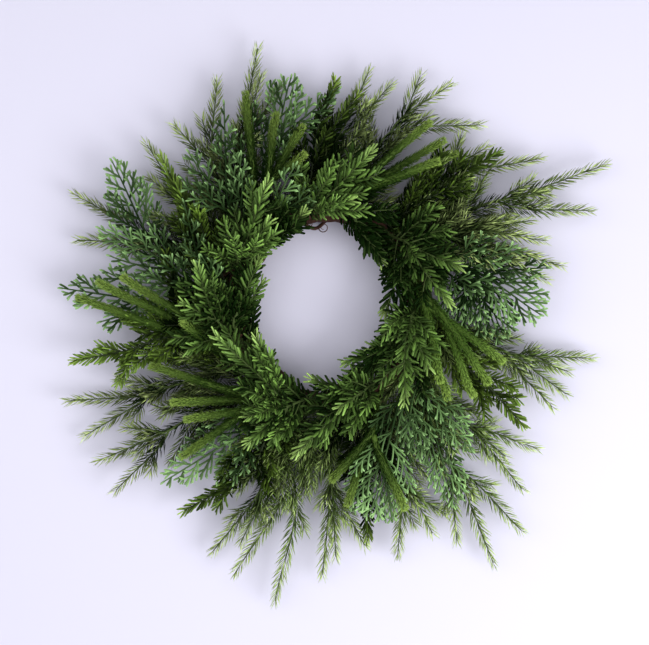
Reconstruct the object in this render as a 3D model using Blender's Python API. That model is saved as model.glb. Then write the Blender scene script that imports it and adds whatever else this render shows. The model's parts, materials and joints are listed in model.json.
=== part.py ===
"""Evergreen wreath: picks of spruce, fir, cypress and foxtail on a ring of twisted vine, lying on its back.

Metres, +Z up. The surface that it lies on is z = 0, and the origin is under the middle of the whole wreath.
Every spray is a pick: a foot laid along the vine core and tucked under the wrapping vine, a stem, and the
shoots that spread from its fork. Picks are placed from below upwards, and each one is bent clear of those
that lie under it. Needles and leaflets grow from the top down, and stop short of what another pick fills.
"""

import itertools
import math
import random
from dataclasses import dataclass

import bmesh
import bpy
import numpy as np
from mathutils import Matrix, Vector
from mathutils.bvhtree import BVHTree

MM = 0.001
UP = Vector((0, 0, 1))

# The vine ring: a round core, and one long vine wrapped round it that holds the feet of the picks.
RING_RADIUS = 102 * MM
CORE_RADIUS = 10 * MM
CORE_RIDGE = 0.7 * MM
CORE_RIDGES = 3
CORE_TWISTS = 7
CORE_STEPS = 32
CORE_SIDES = 8
WRAP_RADIUS = 15.9 * MM
WRAP_THICKNESS = 3.8 * MM
WRAP_TURNS = 8
WRAP_STEPS = 9
WRAP_SIDES = 4
WRAP_PRESSED = 0.6 * MM
WRAP_FILLS = 0.64
CORE_PROBES = 451
RING_HEIGHT = (WRAP_RADIUS + WRAP_THICKNESS / 2) * math.cos(math.pi / WRAP_STEPS) - WRAP_PRESSED

# The foot of a pick lies flat along the core and then leaves it, all of them clockwise seen from above.
FOOT_RADIUS = 1.6 * MM
FOOT_GAP = 0.5 * MM
FOOT_ARC = 9
LEAVE_AHEAD = 14
LEAVE_SLOPE = 0.07
LEAVE_LEAST = 0.8
UNDER_WRAP = 12 * MM

# Room kept between two picks, and the ways in which a pick is bent until it has that room.
STEM_GAP = 0.6 * MM
NEEDLE_GAP = 0.5 * MM
LOWEST = 1 * MM
SAMPLE = 1.5 * MM
LIFTS = (0, 3, 6, 9, 12, 15, 18, 22, 26)
TURNS = (0, 4, -4, 8, -8, 12, -12, 16, 20)
LANES = (0, 20, -20, 40, -40, 60, -60, 80, 100)
TURN_COST = 0.5
LANE_COST = 0.1
MOST_SHOOTS = 10

# A frond is a flat blade cut into blunt branchlets on both sides of its rib.
FROND_THICKNESS = 1.0 * MM
RIB_WIDTH = 2.6 * MM
LEAFLET_WIDTH = 3.0 * MM
LEAFLET_SPACING = 16 * MM
LEAFLET_ANGLE = math.radians(42)
FORKED_FROM = 28 * MM
FORK_ANGLE = math.radians(36)
FORK_LENGTH = 4.5 * MM
FORK_PLACE = 0.66
FORK_ROOT = 0.8


@dataclass(frozen=True)
class Kind:
    """A kind of greenery: its colour, where its foot lies round the core, and the sizes of its shoots."""

    colour: tuple
    lane: float
    root: float
    tip: float
    core: float
    body: float
    bare: float
    pitch: float
    whorl: float
    needle: float
    lean: float
    flat: float


SPRUCE = Kind(
    colour=(0.10, 0.19, 0.06), lane=5, root=1.4 * MM, tip=0.8 * MM, core=1.1 * MM, body=1.4 * MM, bare=8 * MM,
    pitch=18.5 * MM, whorl=1.8 * MM, needle=12.5 * MM, lean=46, flat=0.7,
)
CYPRESS = Kind(
    colour=(0.13, 0.27, 0.14), lane=40, root=1.6 * MM, tip=0.9 * MM, core=1.4 * MM, body=1.6 * MM, bare=9 * MM,
    pitch=0, whorl=0, needle=0, lean=0, flat=0,
)
FOXTAIL = Kind(
    colour=(0.22, 0.36, 0.06), lane=65, root=1.5 * MM, tip=1.6 * MM, core=2.8 * MM, body=5.0 * MM, bare=26 * MM,
    pitch=15 * MM, whorl=0, needle=6.5 * MM, lean=38, flat=1.0,
)
FIR = Kind(
    colour=(0.12, 0.27, 0.07), lane=105, root=1.4 * MM, tip=0.9 * MM, core=1.3 * MM, body=1.4 * MM, bare=8 * MM,
    pitch=10.5 * MM, whorl=0, needle=10.5 * MM, lean=52, flat=0.65,
)
LOW_FIR = Kind(
    colour=(0.08, 0.20, 0.05), lane=25, root=1.4 * MM, tip=0.9 * MM, core=1.3 * MM, body=1.4 * MM, bare=8 * MM,
    pitch=10.5 * MM, whorl=0, needle=10.5 * MM, lean=52, flat=0.65,
)
VINE_COLOUR = (0.11, 0.06, 0.05)


@dataclass(frozen=True)
class Pick:
    """One spray. A point of it is (bearing in degrees, reach and height in millimetres) from the ring's centre.

    The stem ends in the fork, and one shoot goes from there to each tip. A frond has its width in millimetres.
    """

    name: str
    kind: Kind
    fork: tuple
    tips: tuple
    widths: tuple = ()


PICKS = (
    Pick("spruce_01", SPRUCE, (120, 195, 26), ((105, 289, 22), (106, 257, 34), (102, 245, 14))),
    Pick("spruce_02", SPRUCE, (129, 197, 24), ((116, 271, 20), (130, 255, 26))),
    Pick("spruce_03", SPRUCE, (144, 188, 26), ((138, 261, 24), (144, 237, 14))),
    Pick("spruce_04", SPRUCE, (158, 195, 22), ((156, 297, 20), (165, 280, 16))),
    Pick("spruce_05", SPRUCE, (207, 190, 24), ((199, 237, 30), (200, 298, 20), (208, 297, 14))),
    Pick("spruce_06", SPRUCE, (218, 216, 24), ((214, 297, 20), (221, 301, 26), (211, 252, 32))),
    Pick("spruce_07", SPRUCE, (250, 210, 24), ((245, 291, 20), (250, 270, 28), (254, 247, 14))),
    Pick("spruce_08", SPRUCE, (259, 190, 26), ((251, 302, 30), (260, 323, 20))),
    Pick("spruce_09", SPRUCE, (271, 187, 22), ((269, 290, 18), (272, 269, 28), (279, 261, 20))),
    Pick("spruce_10", SPRUCE, (293, 203, 24), ((286, 278, 20), (295, 269, 26), (300, 260, 14))),
    Pick("spruce_11", SPRUCE, (309, 217, 24), ((303, 330, 20), (299, 288, 28), (311, 319, 26))),
    Pick("spruce_12", SPRUCE, (320, 195, 26), ((317, 288, 22), (320, 250, 32), (326, 272, 30))),
    Pick("spruce_13", SPRUCE, (346, 198, 24), ((340, 275, 20), (336, 265, 30), (345, 268, 30), (349, 291, 18))),
    Pick("spruce_14", SPRUCE, (30, 153, 34), ((10, 255, 30), (17, 243, 40), (23, 237, 34), (13, 212, 46))),
    Pick("spruce_15", SPRUCE, (32, 215, 24), ((27, 338, 20), (20, 302, 26), (28, 264, 34))),
    Pick("spruce_16", SPRUCE, (48, 183, 26), ((35, 279, 22), (45, 243, 30), (52, 236, 18))),
    Pick("spruce_17", SPRUCE, (70, 200, 24), ((50, 257, 20), (61, 274, 26), (68, 267, 32))),
    Pick("spruce_18", SPRUCE, (86, 185, 24), ((80, 257, 22), (74, 248, 30))),
    Pick("low_fir_01", LOW_FIR, (192, 205, 32), ((192, 276, 34), (200, 238, 26))),
    Pick("low_fir_02", LOW_FIR, (244, 205, 32), ((235, 267, 32),)),
    Pick("low_fir_03", LOW_FIR, (283, 185, 32), ((280, 253, 26),)),
    Pick("low_fir_04", LOW_FIR, (333, 200, 34), ((329, 244, 38),)),
    Pick("low_fir_05", LOW_FIR, (46, 190, 34), ((42, 246, 36),)),
    Pick("low_fir_06", LOW_FIR, (94, 165, 34), ((82, 229, 30), (88, 241, 40))),
    Pick("low_fir_07", LOW_FIR, (182, 158, 38), ((162, 181, 44),)),
    Pick("low_fir_08", LOW_FIR, (150, 160, 40), ((138, 238, 40), (141, 207, 50))),
    Pick("cypress_01", CYPRESS, (166, 175, 36), ((146, 278, 34), (161, 257, 42)), (58, 33)),
    Pick("cypress_02", CYPRESS, (132, 160, 44), ((117, 242, 48),), (27,)),
    Pick("cypress_03", CYPRESS, (112, 175, 38), ((99, 248, 36), (87, 232, 44)), (48, 33)),
    Pick("cypress_04", CYPRESS, (119, 112, 52), ((94, 124, 56),), (27,)),
    Pick("cypress_05", CYPRESS, (178, 200, 34), ((176, 286, 28),), (38,)),
    Pick("cypress_06", CYPRESS, (235, 172, 36), ((227, 257, 30),), (38,)),
    Pick("cypress_07", CYPRESS, (16, 152, 44), ((358, 228, 40), (10, 240, 34)), (62, 33)),
    Pick("cypress_08", CYPRESS, (308, 125, 58), ((282, 225, 46),), (80,)),
    Pick("cypress_09", CYPRESS, (314, 155, 42), ((303, 253, 34),), (48,)),
    Pick("cypress_10", CYPRESS, (172, 130, 46), ((144, 188, 46),), (27,)),
    Pick("foxtail_01", FOXTAIL, (128, 132, 44), ((111, 242, 46), (105, 210, 52), (98, 193, 44), (99, 162, 60))),
    Pick("foxtail_02", FOXTAIL, (82, 124, 46), ((61, 222, 54), (55, 215, 44), (50, 213, 36), (53, 192, 58))),
    Pick("foxtail_03", FOXTAIL, (204, 120, 44), ((178, 265, 38), (174, 244, 46), (172, 217, 56),
                                                (187, 152, 64))),
    Pick("foxtail_04", FOXTAIL, (242, 112, 44), ((199, 196, 54), (212, 192, 48), (219, 190, 58),
                                                (226, 221, 42))),
    Pick("foxtail_05", FOXTAIL, (12, 100, 46), ((327, 142, 60), (323, 160, 48), (329, 180, 54), (335, 187, 60),
                                               (343, 194, 48))),
    Pick("foxtail_06", FOXTAIL, (292, 136, 40), ((272, 182, 46), (276, 210, 36), (291, 227, 44))),
    Pick("fir_01", FIR, (149, 108, 58), ((115, 146, 72), (124, 108, 66))),
    Pick("fir_02", FIR, (126, 90, 50), ((104, 102, 60),)),
    Pick("fir_03", FIR, (96, 108, 52), ((74, 170, 70), (77, 115, 60))),
    Pick("fir_04", FIR, (187, 118, 56), ((163, 143, 78), (179, 151, 62))),
    Pick("fir_05", FIR, (238, 106, 56), ((195, 121, 74), (204, 82, 56))),
    Pick("fir_06", FIR, (186, 98, 50), ((147, 87, 60), (160, 74, 54))),
    Pick("fir_07", FIR, (286, 95, 48), ((258, 79, 56),)),
    Pick("fir_08", FIR, (330, 88, 44), ((289, 62, 46), (318, 64, 54))),
    Pick("fir_09", FIR, (30, 92, 48), ((355, 62, 54),)),
    Pick("fir_10", FIR, (72, 98, 44), ((40, 75, 48),)),
    Pick("fir_11", FIR, (36, 110, 56), ((17, 146, 68), (2, 128, 70))),
    Pick("fir_12", FIR, (350, 90, 58), ((329, 124, 74), (309, 130, 64))),
    Pick("fir_13", FIR, (292, 98, 58), ((258, 158, 66), (277, 107, 74))),
    Pick("fir_14", FIR, (248, 116, 54), ((234, 143, 70), (240, 167, 50))),
)


def on_ring(bearing, reach, height):
    """A point at a bearing in degrees, with reach and height in metres, seen from the ring's centre."""
    turn = math.radians(bearing)
    return Vector((reach * math.cos(turn), reach * math.sin(turn), height))


def point_of(polar, lift=0.0):
    """A pick's own point, in metres."""
    bearing, reach, height = polar
    return on_ring(bearing, reach * MM, height * MM + lift)


def round_core(bearing, lane, distance):
    """A point beside the core: lane 0 is its outer side, and lane 90 its top."""
    turn = math.radians(lane)
    return on_ring(bearing, RING_RADIUS + distance * math.cos(turn), RING_HEIGHT + distance * math.sin(turn))


def core_radius_at(bearing, lane):
    """The core's radius: ridges that twist round it, as the vines of a twisted ring do."""
    ridge = math.cos(CORE_RIDGES * math.radians(lane) + CORE_TWISTS * math.radians(bearing))
    return CORE_RADIUS - CORE_RIDGE * (1 - ridge) / 2


def bent(start, end, leaving, arriving, steps):
    """A smooth line from start to end whose ends point along the two directions given."""
    reach = (end - start).length
    leaving, arriving = leaving.normalized() * reach, arriving.normalized() * reach
    line = []
    for t in np.linspace(0, 1, steps + 1):
        line.append(
            start * (2 * t**3 - 3 * t**2 + 1)
            + leaving * (t**3 - 2 * t**2 + t)
            + end * (3 * t**2 - 2 * t**3)
            + arriving * (t**3 - t**2)
        )
    return line


class Track:
    """A line with the place and the heading at any distance from its start."""

    def __init__(self, line):
        self.rows = np.array(line)
        self.table = np.concatenate([[0], np.cumsum(np.linalg.norm(np.diff(self.rows, axis=0), axis=1))])
        self.length = self.table[-1]
        self.headings = np.gradient(self.rows, self.table, axis=0)

    def at(self, place):
        return Vector([np.interp(place, self.table, column) for column in self.rows.T])

    def heading(self, place):
        return Vector([np.interp(place, self.table, column) for column in self.headings.T]).normalized()

    def frame(self, place):
        """(heading, side, up) of the line at this place."""
        heading = self.heading(place)
        side = heading.cross(UP).normalized()
        return heading, side, side.cross(heading)

    def samples(self):
        """(distances, points) close enough together to measure clearances by."""
        places = np.linspace(0, self.length, 2 + int(self.length / SAMPLE))
        return places, np.stack([np.interp(places, self.table, column) for column in self.rows.T], axis=1)


class Room:
    """The space that is taken: points along every stem and needle, each with the radius it fills."""

    WIDEST = 12 * MM

    def __init__(self):
        self.points = np.zeros((0, 3))
        self.radii = np.zeros(0)
        self.owners = np.zeros(0, int)

    def take(self, points, radii, owner):
        """Fills the space round these points for their owner."""
        self.points = np.vstack([self.points, points])
        self.radii = np.concatenate([self.radii, radii])
        self.owners = np.concatenate([self.owners, np.full(len(radii), owner)])

    def is_clear(self, points, radii, gap, but=None):
        """Whether these points keep the gap to everything, apart from what the owner in but fills."""
        points = np.asarray(points)
        near = (self.points > points.min(axis=0) - self.WIDEST).all(axis=1)
        near &= (self.points < points.max(axis=0) + self.WIDEST).all(axis=1)
        if but is not None:
            near &= self.owners != but
        if not near.any():
            return True
        apart = np.linalg.norm(points[:, None] - self.points[None, near], axis=2)
        return bool((apart > np.asarray(radii)[:, None] + self.radii[None, near] + gap).all())


class Seat:
    """The surface of the core, on which the feet lie."""

    def __init__(self, core):
        corners = [vertex.co for vertex in core.data.vertices]
        self.tree = BVHTree.FromPolygons(corners, [face.vertices for face in core.data.polygons])

    def foot(self, leave, lane):
        """Points of a foot that lies along the core in its lane, flat side down, and ends where it leaves."""
        bearings = [leave + FOOT_ARC * share for share in (1, 0.5, 0)]
        distance = CORE_RADIUS + FOOT_RADIUS
        points = Track([round_core(bearing, lane, distance) for bearing in bearings]).samples()[1]
        off_core = min(self.tree.find_nearest(point)[3] for point in points)
        distance += FOOT_RADIUS / 2 + FOOT_GAP - off_core
        return [round_core(bearing, lane, distance) for bearing in bearings]

    def is_clear(self, points, radii, past_foot):
        """Whether points this far past a foot, which leaves the core slowly, are off the core."""
        aside = np.hypot(np.linalg.norm(points[:, :2], axis=1) - RING_RADIUS, points[:, 2] - RING_HEIGHT)
        near = (past_foot > 0) & (aside < CORE_RADIUS + radii + 2 * STEM_GAP)
        for point, radius, past in zip(points[near], radii[near], past_foot[near]):
            leaving = FOOT_RADIUS / 2 + LEAVE_LEAST * FOOT_GAP + LEAVE_SLOPE * past
            if self.tree.find_nearest(point)[3] < min(leaving, radius + STEM_GAP):
                return False
        return True


@dataclass
class Shoot:
    """A shoot of a placed pick: its track, and how far along it the foliage begins."""

    track: Track
    leafy_from: float


class PlacedPick:
    """A pick bent to one lift, turn and lane.

    The first shoot is the pick's axis, from its foot to its first tip, and the others branch from it one after
    another past the fork. A pick of fronds has a bare axis that ends in the fork, and the fronds start there.
    """

    FORK_FLAT = 0.35
    BRANCH_STEP = 6 * MM
    BRANCH_ASIDE = 0.8
    PAST_BRANCH = 4 * MM
    MOST_BARE = 0.45
    STEM_STEPS = 3
    SHOOT_STEPS = 6
    CORNER_TO_FLAT = 60

    def __init__(self, pick, seat, lift, turn, lane):
        kind = pick.kind
        self.pick = pick
        lift = lift * MM
        lane = kind.lane + lane
        self.flat_side_down = math.radians(self.CORNER_TO_FLAT - lane)
        foot = seat.foot(pick.fork[0] + LEAVE_AHEAD + turn, lane)
        fork = point_of(pick.fork, lift)
        ends = [point_of(tip, lift) for tip in pick.tips]
        middle = sum(ends, Vector()) / len(ends)
        onward = (middle - fork).normalized()
        onward.z *= self.FORK_FLAT
        stem = foot[:2] + bent(foot[2], fork, foot[2] - foot[1], onward, self.STEM_STEPS)
        self.seat = seat
        self.foot_length = Track(foot).length
        self.stem_length = Track(stem).length
        if kind is CYPRESS:
            self.shoots = [Shoot(Track(stem), self.stem_length)]
            self.shoots += [self.branch(fork - onward.normalized() * kind.root, onward, end, 0) for end in ends]
            return
        straight = (ends[0] - fork).normalized()
        axis = Track(stem + bent(fork, ends[0], onward + straight, straight, self.SHOOT_STEPS)[1:])
        branches = []
        for number, end in enumerate(ends[1:]):
            place = self.stem_length + self.BRANCH_STEP * number
            branches.append(self.branch(axis.at(place), axis.heading(place), end, self.BRANCH_ASIDE))
        bare = min(kind.bare, self.MOST_BARE * (axis.length - self.stem_length))
        last_branch = self.BRANCH_STEP * max(0, len(branches) - 1)
        self.shoots = [Shoot(axis, self.stem_length + max(bare, last_branch + self.PAST_BRANCH)), *branches]

    def branch(self, start, heading, end, aside):
        """A shoot from start to end that leaves along the heading, turned aside towards the end."""
        straight = (end - start).normalized()
        across = (straight - heading * straight.dot(heading)).normalized()
        track = Track(bent(start, end, heading + across * aside, straight, self.SHOOT_STEPS))
        return Shoot(track, min(self.pick.kind.bare, self.MOST_BARE * track.length))

    def fills(self):
        """(points, radii, distances past the foot) of each shoot, apart from needles and leaflets."""
        kind = self.pick.kind
        filled = []
        for number, shoot in enumerate(self.shoots):
            places, points = shoot.track.samples()
            radii = np.full(len(places), kind.root)
            if number == 0:
                radii = np.where(places < self.stem_length / 2, FOOT_RADIUS, kind.root)
            leafy = places > shoot.leafy_from - kind.body
            if number > 0 or kind is not CYPRESS:
                radii = np.where(leafy, kind.body, radii)
            past_foot = places - self.foot_length if number == 0 else np.full(len(places), math.inf)
            filled.append((points, radii, past_foot))
        return filled

    def is_clear(self, room, wrap):
        """Whether the pick keeps clear of the picks before it, of the core and, once it is out, of the wrap."""
        for points, radii, past_foot in self.fills():
            if not self.seat.is_clear(points, radii, past_foot):
                return False
            aside = np.linalg.norm(points[:, :2], axis=1) - RING_RADIUS
            outside = np.hypot(aside, points[:, 2] - RING_HEIGHT) > UNDER_WRAP
            if outside.any() and not wrap.is_clear(points[outside], radii[outside], STEM_GAP):
                return False
            if (points[:, 2] - radii).min() < LOWEST or not room.is_clear(points, radii, STEM_GAP):
                return False
        return True


def owner_of(pick_number, shoot_number):
    """The number under which a shoot of a pick fills its room."""
    return pick_number * MOST_SHOOTS + shoot_number


def place_all(room, wrap, seat):
    """Every pick, from below upwards, each with the least lift, turn and change of lane that keeps it clear."""
    ways = sorted(
        itertools.product(LIFTS, TURNS, LANES),
        key=lambda way: way[0] + abs(way[1]) * TURN_COST + abs(way[2]) * LANE_COST,
    )
    placed = []
    for number, pick in enumerate(PICKS):
        for way in ways:
            candidate = PlacedPick(pick, seat, *way)
            if candidate.is_clear(room, wrap):
                break
        else:
            raise RuntimeError(f"{pick.name} finds no clear way")
        print(pick.name, "is placed with lift, turn and lane", way)
        for shoot_number, (points, radii, _) in enumerate(candidate.fills()):
            room.take(points, radii, owner_of(number, shoot_number))
        placed.append(candidate)
    return placed


def material_of(name, colour, roughness):
    """A plain material of this colour."""
    material = bpy.data.materials.new(name)
    material.use_nodes = True
    shader = material.node_tree.nodes["Principled BSDF"]
    shader.inputs["Base Color"].default_value = (*colour, 1)
    shader.inputs["Roughness"].default_value = roughness
    shader.inputs["Metallic"].default_value = 0
    return material


def mesh_object(name, vertices, faces, collection=None):
    """A mesh as an object, in the scene or in a collection of its own."""
    mesh = bpy.data.meshes.new(name)
    mesh.from_pydata([tuple(v) for v in vertices], [], faces)
    thing = bpy.data.objects.new(name, mesh)
    (collection or bpy.context.scene.collection).objects.link(thing)
    return thing


def turned_outward(thing):
    """The object, with all its faces pointing out."""
    rework = bmesh.new()
    rework.from_mesh(thing.data)
    bmesh.ops.recalc_face_normals(rework, faces=rework.faces)
    rework.to_mesh(thing.data)
    rework.free()
    return thing


def closed_ring(rows, columns, corner):
    """Vertices and faces of a ring whose cross-section's corners a function gives."""
    vertices = [corner(i, j) for i in range(rows) for j in range(columns)]
    faces = []
    for i in range(rows):
        for j in range(columns):
            a, b = i * columns + j, i * columns + (j + 1) % columns
            c, d = (i + 1) % rows * columns + (j + 1) % columns, (i + 1) % rows * columns + j
            faces += [(a, c, b), (a, d, c)]
    return vertices, faces


def vine_core():
    """The core of the ring: vines twisted together, as ridges on one body."""

    def corner(i, j):
        bearing, lane = 360 * i / CORE_STEPS, 360 * j / CORE_SIDES
        return round_core(bearing, lane, core_radius_at(bearing, lane))

    return turned_outward(mesh_object("vine_core", *closed_ring(CORE_STEPS, CORE_SIDES, corner)))


def wrap_line():
    """Points along the middle of the wrapping vine: each turn has a straight run across its lowest bend."""
    steps = WRAP_TURNS * WRAP_STEPS
    return [
        round_core(360 * i / steps, -90 - 360 * (i + 0.5) / WRAP_STEPS, WRAP_RADIUS) for i in range(steps)
    ]


def vine_wrap():
    """The vine wound round the core and the feet. Its lowest bends are pressed flat on the surface."""
    line = wrap_line()

    def corner(i, j):
        onward = (line[(i + 1) % len(line)] - line[i - 1]).normalized()
        middle = on_ring(360 * i / len(line), RING_RADIUS, RING_HEIGHT)
        out = line[i] - middle
        out = (out - onward * out.dot(onward)).normalized()
        side = onward.cross(out)
        turn = math.tau * (j + 0.5) / WRAP_SIDES
        point = line[i] + (out * math.cos(turn) + side * math.sin(turn)) * WRAP_THICKNESS / math.sqrt(2)
        point.z = max(point.z, 0)
        return point

    return turned_outward(mesh_object("vine_wrap", *closed_ring(len(line), WRAP_SIDES, corner)))


class ShootGrower:
    """Grows one shoot: a three-sided stem, with needles drawn out of its faces where it is leafy."""

    SIDES = 3
    SHORTER = (1.0, 0.65)
    WIDTH = 0.55 * MM
    PROBES = np.linspace(0.3, 1, 7)
    LENGTHS = (0.88, 1.08)
    LEANS = (-5, 5)
    GAP_TWIST = math.radians(30)
    SUNK_ROOT = 0.6 * MM
    SUNK_LENGTH = 4 * MM
    BARE_STEP = 24 * MM

    def __init__(self, placed, number, owner, room, draw):
        self.kind = placed.pick.kind
        self.track = placed.shoots[number].track
        self.leafy_from = placed.shoots[number].leafy_from
        self.stem_length = placed.stem_length if number == 0 else 0
        self.phase = placed.flat_side_down if number == 0 else draw.uniform(0, math.tau)
        self.owner = owner
        self.room = room
        self.draw = draw
        self.vertices = []
        self.faces = []
        self.grown = []

    def radius(self, place):
        """The stem's radius: from the foot or the sunk root on, then the kind's core, and tapering."""
        kind = self.kind
        if place < self.stem_length:
            return FOOT_RADIUS + (kind.root - FOOT_RADIUS) * place / self.stem_length
        if place < self.leafy_from:
            sunk = self.SUNK_ROOT if self.stem_length == 0 else kind.root
            return sunk + (kind.root - sunk) * min(1, place / self.SUNK_LENGTH)
        share = (place - self.leafy_from) / max(self.track.length - self.leafy_from, 1e-6)
        return kind.core + (kind.tip - kind.core) * share**2

    def ring(self, place, phase):
        """Three corners round the stem."""
        heading, side, up = self.track.frame(place)
        for corner in range(self.SIDES):
            turn = phase + math.tau * corner / self.SIDES
            offset = (side * math.cos(turn) + up * math.sin(turn)) * self.radius(place)
            self.vertices.append(self.track.at(place) + offset)

    def needle(self, face, place, at_tip=False):
        """The face drawn out into a needle, or left as it is where something stands in the way."""
        kind = self.kind
        heading, side, up = self.track.frame(place)
        middle = sum((self.vertices[i] for i in face), Vector()) / 3
        out = middle - self.track.at(place)
        out = (out - heading * out.dot(heading)).normalized()
        lean = 0 if at_tip else math.radians(kind.lean + self.draw.uniform(*self.LEANS))
        out = side * out.dot(side) + up * out.dot(up) * kind.flat
        way = (out * math.sin(lean) + heading * math.cos(lean)).normalized()
        length = kind.needle * self.draw.uniform(*self.LENGTHS)
        for shorter in self.SHORTER:
            end = middle + way * length * shorter
            points = [middle.lerp(end, share) for share in self.PROBES]
            radii = np.full(len(points), self.WIDTH)
            if end.z > LOWEST and self.room.is_clear(points, radii, NEEDLE_GAP, self.owner):
                self.grown += points
                self.vertices.append(end)
                apex = len(self.vertices) - 1
                a, b, c = face
                return [(a, b, apex), (b, c, apex), (c, a, apex)]
        return [face]

    def walls(self, low, high, place=None):
        """The stem's faces between two rings, with needles if a place along the shoot is given."""
        for j in range(self.SIDES):
            a, b = low + j, low + (j + 1) % self.SIDES
            d, c = high + j, high + (j + 1) % self.SIDES
            for face in ((a, d, b), (d, c, b)):
                self.faces += [face] if place is None else self.needle(face, place)

    def places(self, phase):
        """(place, turn, whether the stretch after it is leafy) of each ring along the shoot."""
        kind = self.kind
        rings = [(place, phase, False) for place in self.track.table if place < self.stem_length]
        bare = self.leafy_from - self.stem_length
        steps = max(1, round(bare / self.BARE_STEP))
        rings += [(self.stem_length + bare * i / steps, phase, False) for i in range(steps)]
        if self.stem_length == 0:
            rings.insert(1, (self.SUNK_LENGTH, phase, False))
        leafy = self.track.length - self.leafy_from
        if kind.pitch and leafy > 0:
            whorls = max(2, round(leafy / kind.pitch))
            pitch = leafy / whorls
            whorl = kind.whorl or pitch
            for i in range(whorls):
                start = self.leafy_from + pitch * i
                rings.append((start, phase, True))
                phase += math.tau / 6
                if whorl < pitch:
                    rings.append((start + whorl, phase, False))
                    phase += self.GAP_TWIST
        rings.append((self.track.length, phase, False))
        return rings

    def grow(self, name, collection=None):
        """The finished shoot."""
        rings = self.places(self.phase)
        numbers = []
        for place, turn, _ in rings:
            numbers.append(len(self.vertices))
            self.ring(place, turn)
        first, last = numbers[0], numbers[-1]
        self.faces.append((first, first + 1, first + 2))
        for (place, _, leafy), (after, _, _), low, high in zip(rings, rings[1:], numbers, numbers[1:]):
            self.walls(low, high, (place + after) / 2 if leafy else None)
        cap = (last, last + 2, last + 1)
        self.faces += self.needle(cap, self.track.length, at_tip=True) if self.kind.pitch else [cap]
        if self.grown:
            self.room.take(np.array(self.grown), np.full(len(self.grown), self.WIDTH), self.owner)
        return mesh_object(name, self.vertices, self.faces, collection)


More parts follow.
